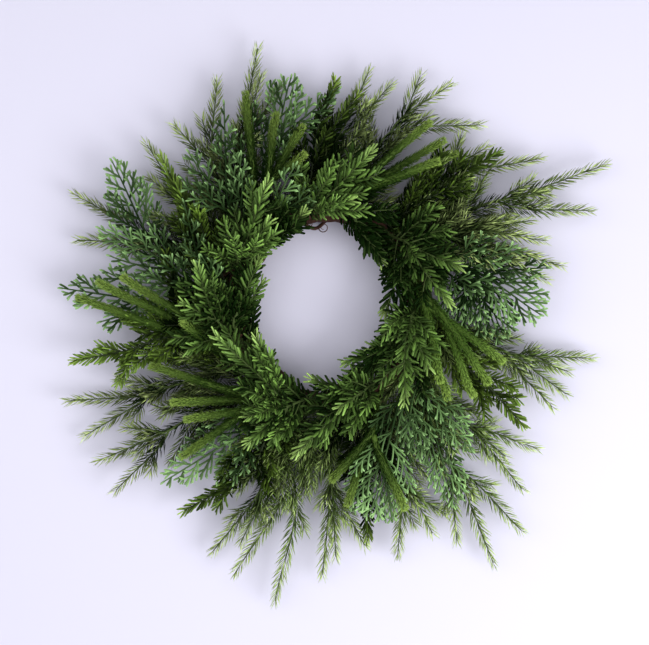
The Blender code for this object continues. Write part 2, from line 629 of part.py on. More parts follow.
class FrondCutter:
    """Cuts one flat frond: a rib with blunt branchlets on both sides, the longer ones forked."""

    SHORTER = (1.0, 0.75, 0.5, 0.3)
    PROBES = np.linspace(0.2, 1.05, 12)
    LENGTHS = (0.86, 1.05)
    LEAST_BRANCHLETS = 3
    END_WIDTH = 0.8

    def __init__(self, placed, number, owner, room, draw):
        self.track = placed.shoots[number].track
        self.bare = placed.shoots[number].leafy_from
        self.half = placed.pick.widths[number - 1] * MM / 2
        self.owner = owner
        self.room = room
        self.draw = draw
        self.points = []
        self.triangles = []

    def envelope(self, place):
        """How far the frond reaches to each side of its rib here: widening, then narrowing to a blunt tip."""
        share = (place - self.bare) / (self.track.length - self.bare)
        return self.half * min(0.55 + 1.5 * share, 1.28 * (1 - share) ** 0.75 + 0.08, 1)

    def on_rib(self, along, aside):
        """A point of the frond's middle sheet, and its upward normal there."""
        place = min(max(along, 0), self.track.length)
        heading, side, up = self.track.frame(place)
        return self.track.at(place) + heading * (along - place) + side * aside, up

    def add(self, along, aside):
        """The number of a new point of the outline."""
        self.points.append((along, aside))
        return len(self.points) - 1

    def branchlet(self, place, sign):
        """One branchlet as numbers of its outline points, from its back edge round to its front edge."""
        length = self.envelope(place) / math.sin(LEAFLET_ANGLE) * self.draw.uniform(*self.LENGTHS)
        onward = np.array([math.cos(LEAFLET_ANGLE), math.sin(LEAFLET_ANGLE)])
        front = np.array([math.sin(LEAFLET_ANGLE), -math.cos(LEAFLET_ANGLE)]) * LEAFLET_WIDTH
        root = np.array([place, RIB_WIDTH / 2])
        for shorter in self.SHORTER:
            reach = length * shorter
            middle = [root + front / 2 + onward * reach * share for share in self.PROBES]
            points = [self.on_rib(along, aside * sign)[0] for along, aside in middle]
            radii = np.full(len(points), LEAFLET_WIDTH / 2)
            if self.room.is_clear(points, radii, NEEDLE_GAP, self.owner):
                break
        else:
            return []
        self.room.take(np.array(points), radii, self.owner)
        tip = root + onward * reach
        outline = [root, tip, tip + front]
        if reach > FORKED_FROM:
            turned = LEAFLET_ANGLE - FORK_ANGLE
            branch = np.array([math.cos(turned), math.sin(turned)]) * FORK_LENGTH
            outer = root + front + onward * reach * FORK_PLACE
            inner = outer - onward * LEAFLET_WIDTH / math.sin(FORK_ANGLE) * FORK_ROOT
            outline += [outer, outer + branch, inner + branch, inner]
        outline.append(root + np.array([LEAFLET_WIDTH / math.sin(LEAFLET_ANGLE), 0]))
        numbers = [self.add(along, aside * sign) for along, aside in outline]
        if reach > FORKED_FROM:
            back, tip, front, outer, branch_outer, branch_inner, inner, root_front = numbers
            self.triangles += [(back, inner, root_front), (back, outer, inner), (back, tip, outer)]
            self.triangles += [(tip, front, outer), (inner, outer, branch_inner)]
            self.triangles += [(outer, branch_outer, branch_inner)]
        else:
            back, tip, front, root_front = numbers
            self.triangles += [(back, tip, front), (back, front, root_front)]
        return numbers

    def split_rib(self, right, left):
        """Splits the rib into triangles between the points on its right and on its left edge."""
        i = j = 0
        while i < len(right) - 1 or j < len(left) - 1:
            ahead_right = self.points[right[i + 1]][0] if i < len(right) - 1 else math.inf
            ahead_left = self.points[left[j + 1]][0] if j < len(left) - 1 else math.inf
            if ahead_right <= ahead_left:
                self.triangles.append((right[i], right[i + 1], left[j]))
                i += 1
            else:
                self.triangles.append((right[i], left[j + 1], left[j]))
                j += 1

    def grow(self, name, collection):
        """The finished frond, with its two faces split into triangles alike."""
        half_rib = RIB_WIDTH / 2
        leafy = self.track.length - self.bare
        count = max(self.LEAST_BRANCHLETS, round(leafy / LEAFLET_SPACING))
        spacing = leafy / (count + 0.3)
        outlines, edges = [], []
        for sign, lag in ((1, 0), (-1, 0.5)):
            outline = [self.add(0, half_rib * sign)]
            edge = outline[:]
            for i in range(count):
                numbers = self.branchlet(self.bare + spacing * (i + lag), sign)
                outline += numbers
                edge += numbers[:1] + numbers[-1:]
            end = self.add(self.track.length, half_rib * self.END_WIDTH * sign)
            outlines.append([*outline, end])
            edges.append([*edge, end])
        self.split_rib(*edges)
        rim = outlines[0] + outlines[1][::-1]
        count = len(self.points)
        upper, lower = [], []
        for along, aside in self.points:
            point, up = self.on_rib(along, aside)
            upper.append(point + up * FROND_THICKNESS / 2)
            lower.append(point - up * FROND_THICKNESS / 2)
        faces = []
        for a, b, c in self.triangles:
            faces += [(a, b, c), (a + count, c + count, b + count)]
        for a, b in zip(rim, rim[1:] + rim[:1]):
            faces += [(a, b, b + count), (a, b + count, a + count)]
        return turned_outward(mesh_object(name, upper + lower, faces, collection))


def joined(body, collection):
    """The body with every object of the collection joined to it by one Boolean union."""
    if not collection.objects:
        bpy.data.collections.remove(collection)
        return body
    union = body.modifiers.new("union", "BOOLEAN")
    union.operation = "UNION"
    union.solver = "MANIFOLD"
    union.operand_type = "COLLECTION"
    union.collection = collection
    bpy.context.view_layer.update()
    whole = bpy.data.meshes.new_from_object(body.evaluated_get(bpy.context.evaluated_depsgraph_get()))
    body.modifiers.clear()
    body.data = whole
    for thing in list(collection.objects):
        bpy.data.objects.remove(thing)
    bpy.data.collections.remove(collection)
    return body


def grow_pick(placed, number, room):
    """The pick as one solid: its axis with all that branches from it."""
    pick = placed.pick
    draw = random.Random(number)
    collection = bpy.data.collections.new(pick.name)
    bpy.context.scene.collection.children.link(collection)
    axis = ShootGrower(placed, 0, owner_of(number, 0), room, draw).grow(pick.name)
    for branch in range(1, len(placed.shoots)):
        maker = FrondCutter if pick.kind is CYPRESS else ShootGrower
        maker(placed, branch, owner_of(number, branch), room, draw).grow(f"{pick.name}_{branch}", collection)
    return joined(axis, collection)


def dress(thing, colour, roughness):
    """Gives the object a plain material of its own."""
    thing.data.materials.clear()
    thing.data.materials.append(material_of(thing.name, colour, roughness))


def centre_all(things):
    """Puts the origin under the middle of the whole wreath, on the surface that it lies on."""
    corners = np.array([vertex.co for thing in things for vertex in thing.data.vertices])
    low, high = corners.min(axis=0), corners.max(axis=0)
    shift = Matrix.Translation((-(low[0] + high[0]) / 2, -(low[1] + high[1]) / 2, 0))
    for thing in things:
        thing.data.transform(shift)


def main():
    """Builds the whole wreath."""
    for thing in list(bpy.data.objects):
        bpy.data.objects.remove(thing)
    room, wrap = Room(), Room()
    line = wrap_line()
    points = Track(line + line[:1]).samples()[1]
    wrap.take(points, np.full(len(points), WRAP_THICKNESS * WRAP_FILLS), owner_of(-2, 0))
    things = [vine_core(), vine_wrap()]
    placed = place_all(room, wrap, Seat(things[0]))
    room.take(wrap.points, wrap.radii, owner_of(-2, 0))
    core = np.array([round_core(bearing, 0, 0) for bearing in np.linspace(0, 360, CORE_PROBES)])
    room.take(core, np.full(len(core), CORE_RADIUS), owner_of(-1, 0))
    for thing in things:
        dress(thing, VINE_COLOUR, 0.85)
    for number in reversed(range(len(placed))):
        thing = grow_pick(placed[number], number, room)
        dress(thing, placed[number].pick.kind.colour, 0.6)
        things.append(thing)
    centre_all(things)


if __name__ == "__main__":
    main()
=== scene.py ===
"""Evergreen wreath: needles, fronds and bark of a wreath of mixed greenery on a ring of twisted vine.

Metres, +Z up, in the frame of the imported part. Each spray of the part is a pick: a foot along the vine core,
a stem, and shoots that spread from its fork. Here every pick is found again in the part, bent as it is there,
and grows its full foliage along the same shoots, with twigs between them.
"""

import json
import logging
import math
import random
from dataclasses import dataclass, field
from enum import Enum
from itertools import product
from typing import Iterable, Iterator

import bpy
import numpy as np
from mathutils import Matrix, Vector
from mathutils.bvhtree import BVHTree

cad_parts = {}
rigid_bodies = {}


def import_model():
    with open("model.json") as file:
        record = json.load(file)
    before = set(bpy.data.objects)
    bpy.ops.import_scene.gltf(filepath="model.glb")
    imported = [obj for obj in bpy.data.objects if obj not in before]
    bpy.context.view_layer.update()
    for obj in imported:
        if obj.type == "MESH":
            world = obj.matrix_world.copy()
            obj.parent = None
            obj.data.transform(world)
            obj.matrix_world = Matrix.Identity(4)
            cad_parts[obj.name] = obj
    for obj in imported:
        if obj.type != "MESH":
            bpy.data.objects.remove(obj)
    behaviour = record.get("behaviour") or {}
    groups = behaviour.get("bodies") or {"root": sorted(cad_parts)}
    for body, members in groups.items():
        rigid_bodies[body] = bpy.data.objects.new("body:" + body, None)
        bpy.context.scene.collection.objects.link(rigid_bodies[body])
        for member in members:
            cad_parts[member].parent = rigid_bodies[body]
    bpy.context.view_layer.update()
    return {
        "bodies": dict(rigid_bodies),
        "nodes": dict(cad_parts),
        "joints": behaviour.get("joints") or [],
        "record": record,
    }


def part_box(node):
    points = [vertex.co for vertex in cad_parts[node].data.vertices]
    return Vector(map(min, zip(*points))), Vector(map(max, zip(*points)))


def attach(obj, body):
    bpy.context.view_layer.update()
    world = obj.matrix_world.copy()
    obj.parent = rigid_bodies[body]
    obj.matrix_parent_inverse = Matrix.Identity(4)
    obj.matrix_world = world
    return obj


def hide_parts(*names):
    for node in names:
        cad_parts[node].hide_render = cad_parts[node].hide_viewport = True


MM = 0.001
UP = Vector((0, 0, 1))
LOG = logging.getLogger("wreath")

# The ring and the feet of the picks, as in the part.
RING_RADIUS = 102 * MM
CORE_RADIUS = 10 * MM
FOOT_RADIUS = 1.6 * MM
FOOT_GAP = 0.5 * MM
FOOT_ARC = 9
FOOT_PROBES = 12
LEAVE_AHEAD = 14

# The ways in which a pick of the part may be bent: lift in millimetres, turn and lane in degrees.
LIFTS = (0, 3, 6, 9, 12, 15, 18, 22, 26)
TURNS = (0, 4, -4, 8, -8, 12, -12, 16, 20)
LANES = (0, 20, -20, 40, -40, 60, -60, 80, 100)
TURN_COST = 0.5
LANE_COST = 0.1

# Twigs keep out of the hole, off the surface below and under the top of the highest sprays.
HOLE_BEARINGS = (0, 30, 60, 90, 120, 150, 180, 210, 240, 270, 300, 330)
HOLE_REACHES = (68, 70, 73, 98, 88, 88, 78, 72, 90, 88, 66, 65)
HOLE_SLACK = 2 * MM
LOWEST_TWIG = 9 * MM
HIGHEST_TWIG = 80 * MM

# Short names of types. A vine is its points, its radius and whether it is closed.
Polar = tuple[float, float, float]
Colour = tuple[float, float, float]
Vine = tuple[list[Vector], float, bool]
Socket = bpy.types.NodeSocket


class Greenery(Enum):
    """The kinds of greenery in the wreath."""

    SPRUCE = "spruce"
    LOW_FIR = "low_fir"
    FIR = "fir"
    CYPRESS = "cypress"
    FOXTAIL = "foxtail"


@dataclass(frozen=True)
class Habit:
    """How a kind of greenery is picked and laid, with the sizes that the part gives its stems.

    Attributes:
        lane: where its foot lies round the core, in degrees up from the outer side.
        root: the radius of its stem at the fork.
        core: the radius of a shoot's middle.
        bare: the length without leaves past the fork.
    """

    lane: float
    root: float
    core: float
    bare: float


HABITS = {
    Greenery.SPRUCE: Habit(lane=5, root=1.4 * MM, core=1.1 * MM, bare=8 * MM),
    Greenery.CYPRESS: Habit(lane=40, root=1.6 * MM, core=1.4 * MM, bare=9 * MM),
    Greenery.FOXTAIL: Habit(lane=65, root=1.5 * MM, core=2.8 * MM, bare=26 * MM),
    Greenery.FIR: Habit(lane=105, root=1.4 * MM, core=1.3 * MM, bare=8 * MM),
    Greenery.LOW_FIR: Habit(lane=25, root=1.4 * MM, core=1.3 * MM, bare=8 * MM),
}


@dataclass(frozen=True)
class Pick:
    """One spray. A point of it is its bearing in degrees, and its reach and height in millimetres.

    Attributes:
        number: its number among the picks of its kind.
        fork: the end of its stem.
        tips: the ends of its shoots.
        widths: the width of each frond in millimetres, for cypress.
        fillers: the ends of further shoots or fronds between them, which the part leaves out.
        tone: how light its leaves are, from 0 for the darkest sprays to 1.3 for the lightest; on the spruce it
            is partly painted light, higher towards the lower right, where the key lamp stands.
    """

    number: int
    fork: Polar
    tips: tuple[Polar, ...]
    widths: tuple[float, ...] = ()
    fillers: tuple[Polar, ...] = ()
    tone: float = 0.5


PICKS = {
    # The spruce tones rise towards the lower right, facing the key lamp: partly the sprays' own tone, partly
    # painted light.
    Greenery.SPRUCE: (
        Pick(1, (120, 195, 26), ((105, 289, 22), (106, 257, 34), (102, 245, 14))),
        Pick(2, (129, 197, 24), ((116, 271, 20), (130, 255, 26))),
        Pick(3, (144, 188, 26), ((138, 261, 24), (144, 237, 14))),
        Pick(4, (158, 195, 22), ((156, 297, 20), (165, 280, 16)), tone=0.35),
        Pick(5, (207, 190, 24), ((199, 237, 30), (200, 298, 20), (208, 297, 14)), tone=0.4),
        Pick(6, (218, 216, 24), ((214, 297, 20), (221, 301, 26), (211, 252, 32)), tone=0.45),
        Pick(7, (250, 210, 24), ((245, 291, 20), (250, 270, 28), (254, 247, 14)), tone=0.7),
        Pick(8, (259, 190, 26), ((251, 302, 30), (260, 323, 20)), tone=1.05),
        Pick(9, (271, 187, 22), ((269, 290, 18), (272, 269, 28), (279, 261, 20)), tone=1.15),
        Pick(10, (293, 203, 24), ((286, 278, 20), (295, 269, 26), (300, 260, 14)), tone=1.15),
        Pick(11, (309, 217, 24), ((303, 330, 20), (299, 288, 28), (311, 319, 26)), tone=1.25),
        Pick(12, (320, 195, 26), ((317, 288, 22), (320, 250, 32), (326, 272, 30)), tone=1.3),
        Pick(13, (346, 198, 24), ((340, 275, 20), (336, 265, 30), (345, 268, 30), (349, 291, 18)), tone=1.15),
        Pick(14, (30, 153, 34), ((10, 255, 30), (17, 243, 40), (23, 237, 34), (13, 212, 46)),
             fillers=((14, 230, 44), (20, 224, 46), (7, 238, 32), (26, 216, 42))),
        Pick(15, (32, 215, 24), ((27, 338, 20), (20, 302, 26), (28, 264, 34)), tone=0.8),
        Pick(16, (48, 183, 26), ((35, 279, 22), (45, 243, 30), (52, 236, 18)), tone=0.6),
        Pick(17, (70, 200, 24), ((50, 257, 20), (61, 274, 26), (68, 267, 32))),
        Pick(18, (86, 185, 24), ((80, 257, 22), (74, 248, 30))),
    ),
    Greenery.LOW_FIR: (
        Pick(1, (192, 205, 32), ((192, 276, 34), (200, 238, 26)), tone=1),
        Pick(2, (244, 205, 32), ((235, 267, 32),), tone=0.7),
        Pick(3, (283, 185, 32), ((280, 253, 26),), tone=0),
        Pick(4, (333, 200, 34), ((329, 244, 38),), tone=0.95),
        Pick(5, (46, 190, 34), ((42, 246, 36),), tone=0.45),
        Pick(6, (94, 165, 34), ((82, 229, 30), (88, 241, 40)), tone=0.25),
        Pick(7, (182, 158, 38), ((162, 181, 44),), tone=0.1),
        Pick(8, (150, 160, 40), ((138, 238, 40), (141, 207, 50)), tone=0.7),
    ),
    Greenery.CYPRESS: (
        Pick(1, (166, 175, 36), ((146, 278, 34), (161, 257, 42)), (58, 33), tone=0.5),
        Pick(2, (132, 160, 44), ((117, 242, 48),), (27,), tone=0.6),
        Pick(3, (112, 175, 38), ((99, 248, 36), (87, 232, 44)), (48, 33), tone=0.35),
        Pick(4, (119, 112, 52), ((94, 124, 56),), (27,), tone=0.6),
        Pick(5, (178, 200, 34), ((176, 286, 28),), (38,)),
        Pick(6, (235, 172, 36), ((227, 257, 30),), (38,), tone=0.6),
        Pick(7, (16, 152, 44), ((358, 228, 40), (10, 240, 34)), (62, 33),
             fillers=((351, 192, 34), (356, 160, 40), (357, 140, 36)), tone=0.4),
        Pick(8, (308, 125, 58), ((282, 225, 46),), (80,), tone=0.65),
        Pick(9, (314, 155, 42), ((303, 253, 34),), (48,), tone=0.75),
        Pick(10, (172, 130, 46), ((144, 188, 46),), (27,), tone=0.3),
    ),
    Greenery.FOXTAIL: (
        Pick(1, (128, 132, 44), ((111, 242, 46), (105, 210, 52), (98, 193, 44), (99, 162, 60)), tone=0.35),
        Pick(2, (82, 124, 46), ((61, 222, 54), (55, 215, 44), (50, 213, 36), (53, 192, 58))),
        Pick(3, (204, 120, 44), ((178, 265, 38), (174, 244, 46), (172, 217, 56), (187, 152, 64)), tone=0.6),
        Pick(4, (242, 112, 44), ((199, 196, 54), (212, 192, 48), (219, 190, 58), (226, 221, 42)), tone=0.6),
        Pick(5, (12, 100, 46),
             ((327, 142, 60), (323, 160, 48), (329, 180, 54), (335, 187, 60), (343, 194, 48)), tone=0.85),
        Pick(6, (292, 136, 40), ((272, 182, 46), (276, 210, 36), (291, 227, 44)), tone=0.6),
    ),
    Greenery.FIR: (
        Pick(1, (149, 108, 58), ((115, 146, 72), (124, 108, 66)), tone=0.9),
        Pick(2, (126, 90, 50), ((104, 102, 60),), tone=0.35),
        Pick(3, (96, 108, 52), ((74, 170, 70), (77, 115, 60)), tone=0.75),
        Pick(4, (187, 118, 56), ((163, 143, 78), (179, 151, 62)), tone=0.75),
        Pick(5, (238, 106, 56), ((195, 121, 74), (204, 82, 56)), tone=0.85),
        Pick(6, (186, 98, 50), ((147, 87, 60), (160, 74, 54)), tone=0.3),
        Pick(7, (286, 95, 48), ((258, 79, 56),)),
        Pick(8, (330, 88, 44), ((289, 62, 46), (318, 64, 54)), tone=0.25),
        Pick(9, (30, 92, 48), ((355, 62, 54),), tone=0.15),
        Pick(10, (72, 98, 44), ((40, 75, 48),), tone=0.1),
        Pick(11, (36, 110, 56), ((17, 146, 68), (2, 128, 70)), tone=0.5),
        Pick(12, (350, 90, 58), ((329, 124, 74), (309, 130, 64)), tone=0.75),
        Pick(13, (292, 98, 58), ((258, 158, 66), (277, 107, 74)), tone=0.7),
        Pick(14, (248, 116, 54), ((234, 143, 70), (240, 167, 50)), tone=0.6),
    ),
}


def bent(start: Vector, end: Vector, leaving: Vector, arriving: Vector, steps: int) -> list[Vector]:
    """A smooth line whose ends point along the two directions given.

    Args:
        start: where the line begins.
        end: where it ends.
        leaving: its direction at the start.
        arriving: its direction at the end.
        steps: how many straight pieces it has.

    Returns:
        The line's points.
    """
    reach = (end - start).length
    leaving, arriving = leaving.normalized() * reach, arriving.normalized() * reach
    line = []
    for t in np.linspace(0, 1, steps + 1):
        line.append(
            start * (2 * t**3 - 3 * t**2 + 1)
            + leaving * (t**3 - 2 * t**2 + t)
            + end * (3 * t**2 - 2 * t**3)
            + arriving * (t**3 - t**2)
        )
    return line


class Track:
    """A line with the place and the heading at any distance from its start."""

    def __init__(self, line: list[Vector]) -> None:
        """Measures the line.

        Args:
            line: its points.
        """
        self.rows = np.array(line)
        self.table = np.concatenate([[0], np.cumsum(np.linalg.norm(np.diff(self.rows, axis=0), axis=1))])
        self.length = float(self.table[-1])
        self.headings = np.gradient(self.rows, self.table, axis=0)

    def at(self, place: float) -> Vector:
        """The point at this distance from the start."""
        return Vector([np.interp(place, self.table, column) for column in self.rows.T])

    def heading(self, place: float) -> Vector:
        """The direction in which the line runs at this distance."""
        return Vector([np.interp(place, self.table, column) for column in self.headings.T]).normalized()

    def frame(self, place: float) -> tuple[Vector, Vector, Vector]:
        """Heading, side and up of the line at this distance."""
        heading = self.heading(place)
        side = heading.cross(UP).normalized()
        return heading, side, side.cross(heading)

    def stretch(self, start: float, end: float, step: float) -> tuple[np.ndarray, np.ndarray]:
        """Distances and points of a stretch of the line.

        Args:
            start: the distance at which the stretch begins.
            end: the distance at which it ends.
            step: the most that two points are apart.

        Returns:
            The distances, and the points as rows.
        """
        count = 2 + int((end - start) / step)
        places = np.linspace(start, end, count)
        return places, np.stack([np.interp(places, self.table, column) for column in self.rows.T], axis=1)


def surface(node: bpy.types.Object) -> BVHTree:
    """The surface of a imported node, for distances from it."""
    corners = [vertex.co for vertex in node.data.vertices]
    return BVHTree.FromPolygons(corners, [face.vertices for face in node.data.polygons])


class VineSeat:
    """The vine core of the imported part: its centre and height, and where a foot lies on it."""

    def __init__(self, core: bpy.types.Object) -> None:
        """Reads the ring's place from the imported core.

        Args:
            core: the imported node.
        """
        low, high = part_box("vine_core")
        self.centre = Vector(((low.x + high.x) / 2, (low.y + high.y) / 2, 0))
        self.height = (low.z + high.z) / 2
        self.tree = surface(core)

    def clear(self, line: np.ndarray) -> bool:
        """Whether a line of growth keeps out of the hole, off the surface below and under the top."""
        x, y = (line - np.array(self.centre))[:, :2].T
        reach = np.hypot(x, y)
        least = np.interp(np.degrees(np.arctan2(y, x)), HOLE_BEARINGS, HOLE_REACHES, period=360) * MM
        heights = line[1:, 2]
        outside = (reach >= np.minimum(least, reach[0] - HOLE_SLACK)).all()
        return bool(outside) and heights.min() >= LOWEST_TWIG and heights.max() <= HIGHEST_TWIG

    def on_ring(self, bearing: float, reach: float, height: float) -> Vector:
        """A point at a bearing in degrees, with reach and height in metres."""
        turn = math.radians(bearing)
        return self.centre + Vector((reach * math.cos(turn), reach * math.sin(turn), height))

    def round_core(self, bearing: float, lane: float, distance: float) -> Vector:
        """A point beside the core: lane 0 is its outer side, and lane 90 its top."""
        turn = math.radians(lane)
        reach = RING_RADIUS + distance * math.cos(turn)
        return self.on_ring(bearing, reach, self.height + distance * math.sin(turn))

    def foot(self, leave: float, lane: float) -> list[Vector]:
        """Points of the foot that lies along the core.

        Args:
            leave: the bearing at which the foot leaves the core.
            lane: its lane round the core.

        Returns:
            The foot's points, up to where it leaves.
        """
        bearings = [leave + FOOT_ARC * share for share in (1, 0.5, 0)]
        distance = CORE_RADIUS + FOOT_RADIUS
        probes = np.linspace(leave, leave + FOOT_ARC, FOOT_PROBES)
        off_core = min(self.tree.find_nearest(self.round_core(probe, lane, distance))[3] for probe in probes)
        distance += FOOT_RADIUS / 2 + FOOT_GAP - off_core
        return [self.round_core(bearing, lane, distance) for bearing in bearings]


@dataclass
class Shoot:
    """One line of growth: its points, with how thick, leafy, ripe and large-leaved it is at each.

    Attributes:
        points: rows of x, y, z.
        thick: the stem's radius.
        leafy: 1 where leaves grow, 0 where the stem is bare.
        ripe: 0 at the root of the foliage, 1 at its tip.
        size: the size of the leaves.
        shade: how light its leaves are.
        tint: a number of this line's own, which sets it off a little from the others.
    """

    points: np.ndarray
    thick: np.ndarray
    leafy: np.ndarray
    ripe: np.ndarray
    size: np.ndarray
    shade: float = 0.5
    tint: float = 0.5


class PlacedPick:
    """A pick with its tracks, bent to one lift, turn and lane as the part bends it.

    The first track is the axis, from the foot to the first tip, and the others branch from it past the fork.
    A pick of fronds has an axis that ends in the fork, and its fronds start there.
    """

    FORK_FLAT = 0.35
    BRANCH_STEP = 6 * MM
    BRANCH_ASIDE = 0.8
    STEM_STEPS = 12
    SHOOT_STEPS = 24
    PROBE_STEP = 4 * MM

    def __init__(self, kind: Greenery, pick: Pick, seat: VineSeat, way: tuple[float, float, float]) -> None:
        """Bends the pick.

        Args:
            kind: the kind of greenery.
            pick: its own points.
            seat: the ring that it sits on.
            way: its lift in millimetres, and its turn and change of lane in degrees.
        """
        habit = HABITS[kind]
        lift, turn, lane = way
        self.kind = kind
        self.pick = pick
        self.habit = habit
        self.name = f"{kind.value}_{pick.number:02d}"

        def place(polar: Polar) -> Vector:
            """The point, lifted."""
            bearing, reach, height = polar
            return seat.on_ring(bearing, reach * MM, (height + lift) * MM)

        foot = seat.foot(pick.fork[0] + LEAVE_AHEAD + turn, habit.lane + lane)
        fork = place(pick.fork)
        ends = [place(tip) for tip in pick.tips]
        fillers = [place(tip) for tip in pick.fillers]
        middle = sum(ends, Vector()) / len(ends)
        onward = (middle - fork).normalized()
        onward.z *= self.FORK_FLAT
        stem = foot[:2] + bent(foot[2], fork, foot[2] - foot[1], onward, self.STEM_STEPS)
        self.foot_length = Track(foot).length
        self.stem_length = Track(stem).length
        if kind is Greenery.CYPRESS:
            self.axis = Track(stem)
            root = fork - onward.normalized() * habit.root
            self.branches = [self.branch(root, onward, end, 0) for end in ends]
            self.fillers = [self.branch(root, onward, end, 0) for end in fillers]
            return
        straight = (ends[0] - fork).normalized()
        self.axis = Track(stem + bent(fork, ends[0], onward + straight, straight, self.SHOOT_STEPS)[1:])
        self.branches = []
        for number, end in enumerate(ends[1:]):
            start = self.stem_length + self.BRANCH_STEP * number
            heading = self.axis.heading(start)
            self.branches.append(self.branch(self.axis.at(start), heading, end, self.BRANCH_ASIDE))
        root, heading = self.axis.at(self.stem_length), self.axis.heading(self.stem_length)
        self.fillers = [self.branch(root, heading, end, self.BRANCH_ASIDE) for end in fillers]

    def branch(self, start: Vector, heading: Vector, end: Vector, aside: float) -> Track:
        """A track that leaves along the heading, turned aside towards its end.

        Args:
            start: its root.
            heading: the direction of what it grows from.
            end: its tip.
            aside: how far it is turned towards the tip at its root.

        Returns:
            The branch's track.
        """
        straight = (end - start).normalized()
        across = (straight - heading * straight.dot(heading)).normalized()
        return Track(bent(start, end, heading + across * aside, straight, self.SHOOT_STEPS))

    def misfit(self, solid: BVHTree) -> float:
        """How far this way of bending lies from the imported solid.

        Args:
            solid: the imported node's surface.

        Returns:
            The mean distance from the axis and its branches to that surface.
        """
        apart = []
        for track in (self.axis, *self.branches):
            start = self.foot_length if track is self.axis else 0
            points = track.stretch(start, track.length, self.PROBE_STEP)[1]
            apart += [solid.find_nearest(Vector(point))[3] for point in points]
        return float(np.mean(apart))


class PickFinder:
    """Finds in the part how each pick is bent there.

    A way fits where its lines run no further from the solid's surface than a share of a shoot's radius and a
    little slack.
    """

    INSIDE = 0.5
    SLACK = 0.35 * MM

    def __init__(self, frame: dict, seat: VineSeat) -> None:
        """Sorts the ways of bending, least first.

        Args:
            seat: the ring.
        """
        self.nodes = frame["nodes"]
        self.seat = seat
        ways = [(lift, turn, lane) for lift in LIFTS for turn in TURNS for lane in LANES]
        self.ways = sorted(ways, key=lambda way: way[0] + abs(way[1]) * TURN_COST + abs(way[2]) * LANE_COST)

    def find(self, kind: Greenery, pick: Pick) -> PlacedPick:
        """The pick bent as its node is.

        Args:
            kind: the kind of greenery.
            pick: the pick.

        Returns:
            The placed pick.
        """
        solid = surface(self.nodes[f"{kind.value}_{pick.number:02d}"])
        best, least = None, math.inf
        for way in self.ways:
            placed = PlacedPick(kind, pick, self.seat, way)
            misfit = placed.misfit(solid)
            if misfit < least:
                best, least = placed, misfit
            if misfit < HABITS[kind].core * self.INSIDE + self.SLACK:
                break
        LOG.info("%s lies %.2f mm from its solid", best.name, least / MM)
        return best


@dataclass(frozen=True)
class TwigRule:
    """How twigs stand on the stem or on the shoots of a kind.

    Attributes:
        spacing: the distance between two twigs.
        length: the longest twig.
        angle: how far a twig is turned from what it grows on, in degrees.
        spread: how much that angle changes from twig to twig.
        rise: the most that it climbs, in degrees.
        hang: the most that it hangs, in degrees.
        start: the share of the stem or shoot at which the twigs begin.
        end: the share at which they end.
        ripe: how ripe the twigs' tips are.
    """

    spacing: float
    length: float
    angle: float
    spread: float
    rise: float
    hang: float
    start: float
    end: float
    ripe: float


@dataclass(frozen=True)
class Leafage:
    """How the leaves of a kind stand on a shoot, and how thick its twigs are.

    Attributes:
        spacing: the distance along the shoot from one leaf to the next.
        lean_root: how far the leaves stand from the shoot at its root, in degrees.
        lean_tip: the same at its tip.
        flat: 1 where they stand all round, less where they are combed to both sides.
        hook: how far their ends bend towards the shoot's tip, as a share of their length.
        faced: 1 where their upper faces all turn up, 0 where they don't.
        twig: the radius of a twig.
    """

    spacing: float
    lean_root: float
    lean_tip: float
    flat: float
    hook: float
    faced: float
    twig: float


# The twigs on the stems and on the shoots, the leaves, and the share of a stem at which its leaves begin.
# The stem twigs lie under the shoots, and their low ripeness darkens them: partly older growth, partly painted
# shade.
STEM_TWIGS = {
    Greenery.SPRUCE: TwigRule(
        spacing=4.6 * MM, length=54 * MM, angle=36, spread=20, rise=20, hang=12,
        start=0.05, end=0.76, ripe=0.55,
    ),
    Greenery.LOW_FIR: TwigRule(
        spacing=6 * MM, length=52 * MM, angle=42, spread=24, rise=12, hang=12,
        start=-0.1, end=0.85, ripe=0.55,
    ),
    Greenery.FIR: TwigRule(
        spacing=4.5 * MM, length=58 * MM, angle=46, spread=34, rise=0, hang=22,
        start=-0.16, end=1.0, ripe=0.55,
    ),
}
SHOOT_TWIGS = {
    Greenery.SPRUCE: TwigRule(
        spacing=20 * MM, length=28 * MM, angle=30, spread=8, rise=12, hang=10,
        start=0.04, end=0.32, ripe=0.86,
    ),
    Greenery.LOW_FIR: TwigRule(
        spacing=20 * MM, length=28 * MM, angle=42, spread=8, rise=10, hang=10,
        start=0.05, end=0.3, ripe=0.8,
    ),
    Greenery.FIR: TwigRule(
        spacing=10 * MM, length=38 * MM, angle=56, spread=26, rise=-14, hang=42,
        start=0.0, end=0.6, ripe=0.4,
    ),
}
LEAFAGES = {
    Greenery.SPRUCE: Leafage(
        spacing=1.05 * MM, lean_root=46, lean_tip=32, flat=0.5, hook=0.22, faced=0, twig=0.65 * MM
    ),
    Greenery.LOW_FIR: Leafage(
        spacing=1 * MM, lean_root=66, lean_tip=36, flat=0.7, hook=0.3, faced=1, twig=0.8 * MM
    ),
    Greenery.FIR: Leafage(
        spacing=1.5 * MM, lean_root=70, lean_tip=36, flat=0.8, hook=0.36, faced=1, twig=1.0 * MM
    ),
    Greenery.FOXTAIL: Leafage(
        spacing=0.1 * MM, lean_root=28, lean_tip=25, flat=1.0, hook=0.06, faced=0, twig=3.3 * MM
    ),
}
LEAFY_FROM = {
    Greenery.SPRUCE: 0.2,
    Greenery.LOW_FIR: 0.3,
    Greenery.FIR: 0.5,
    Greenery.FOXTAIL: 0.35,
}


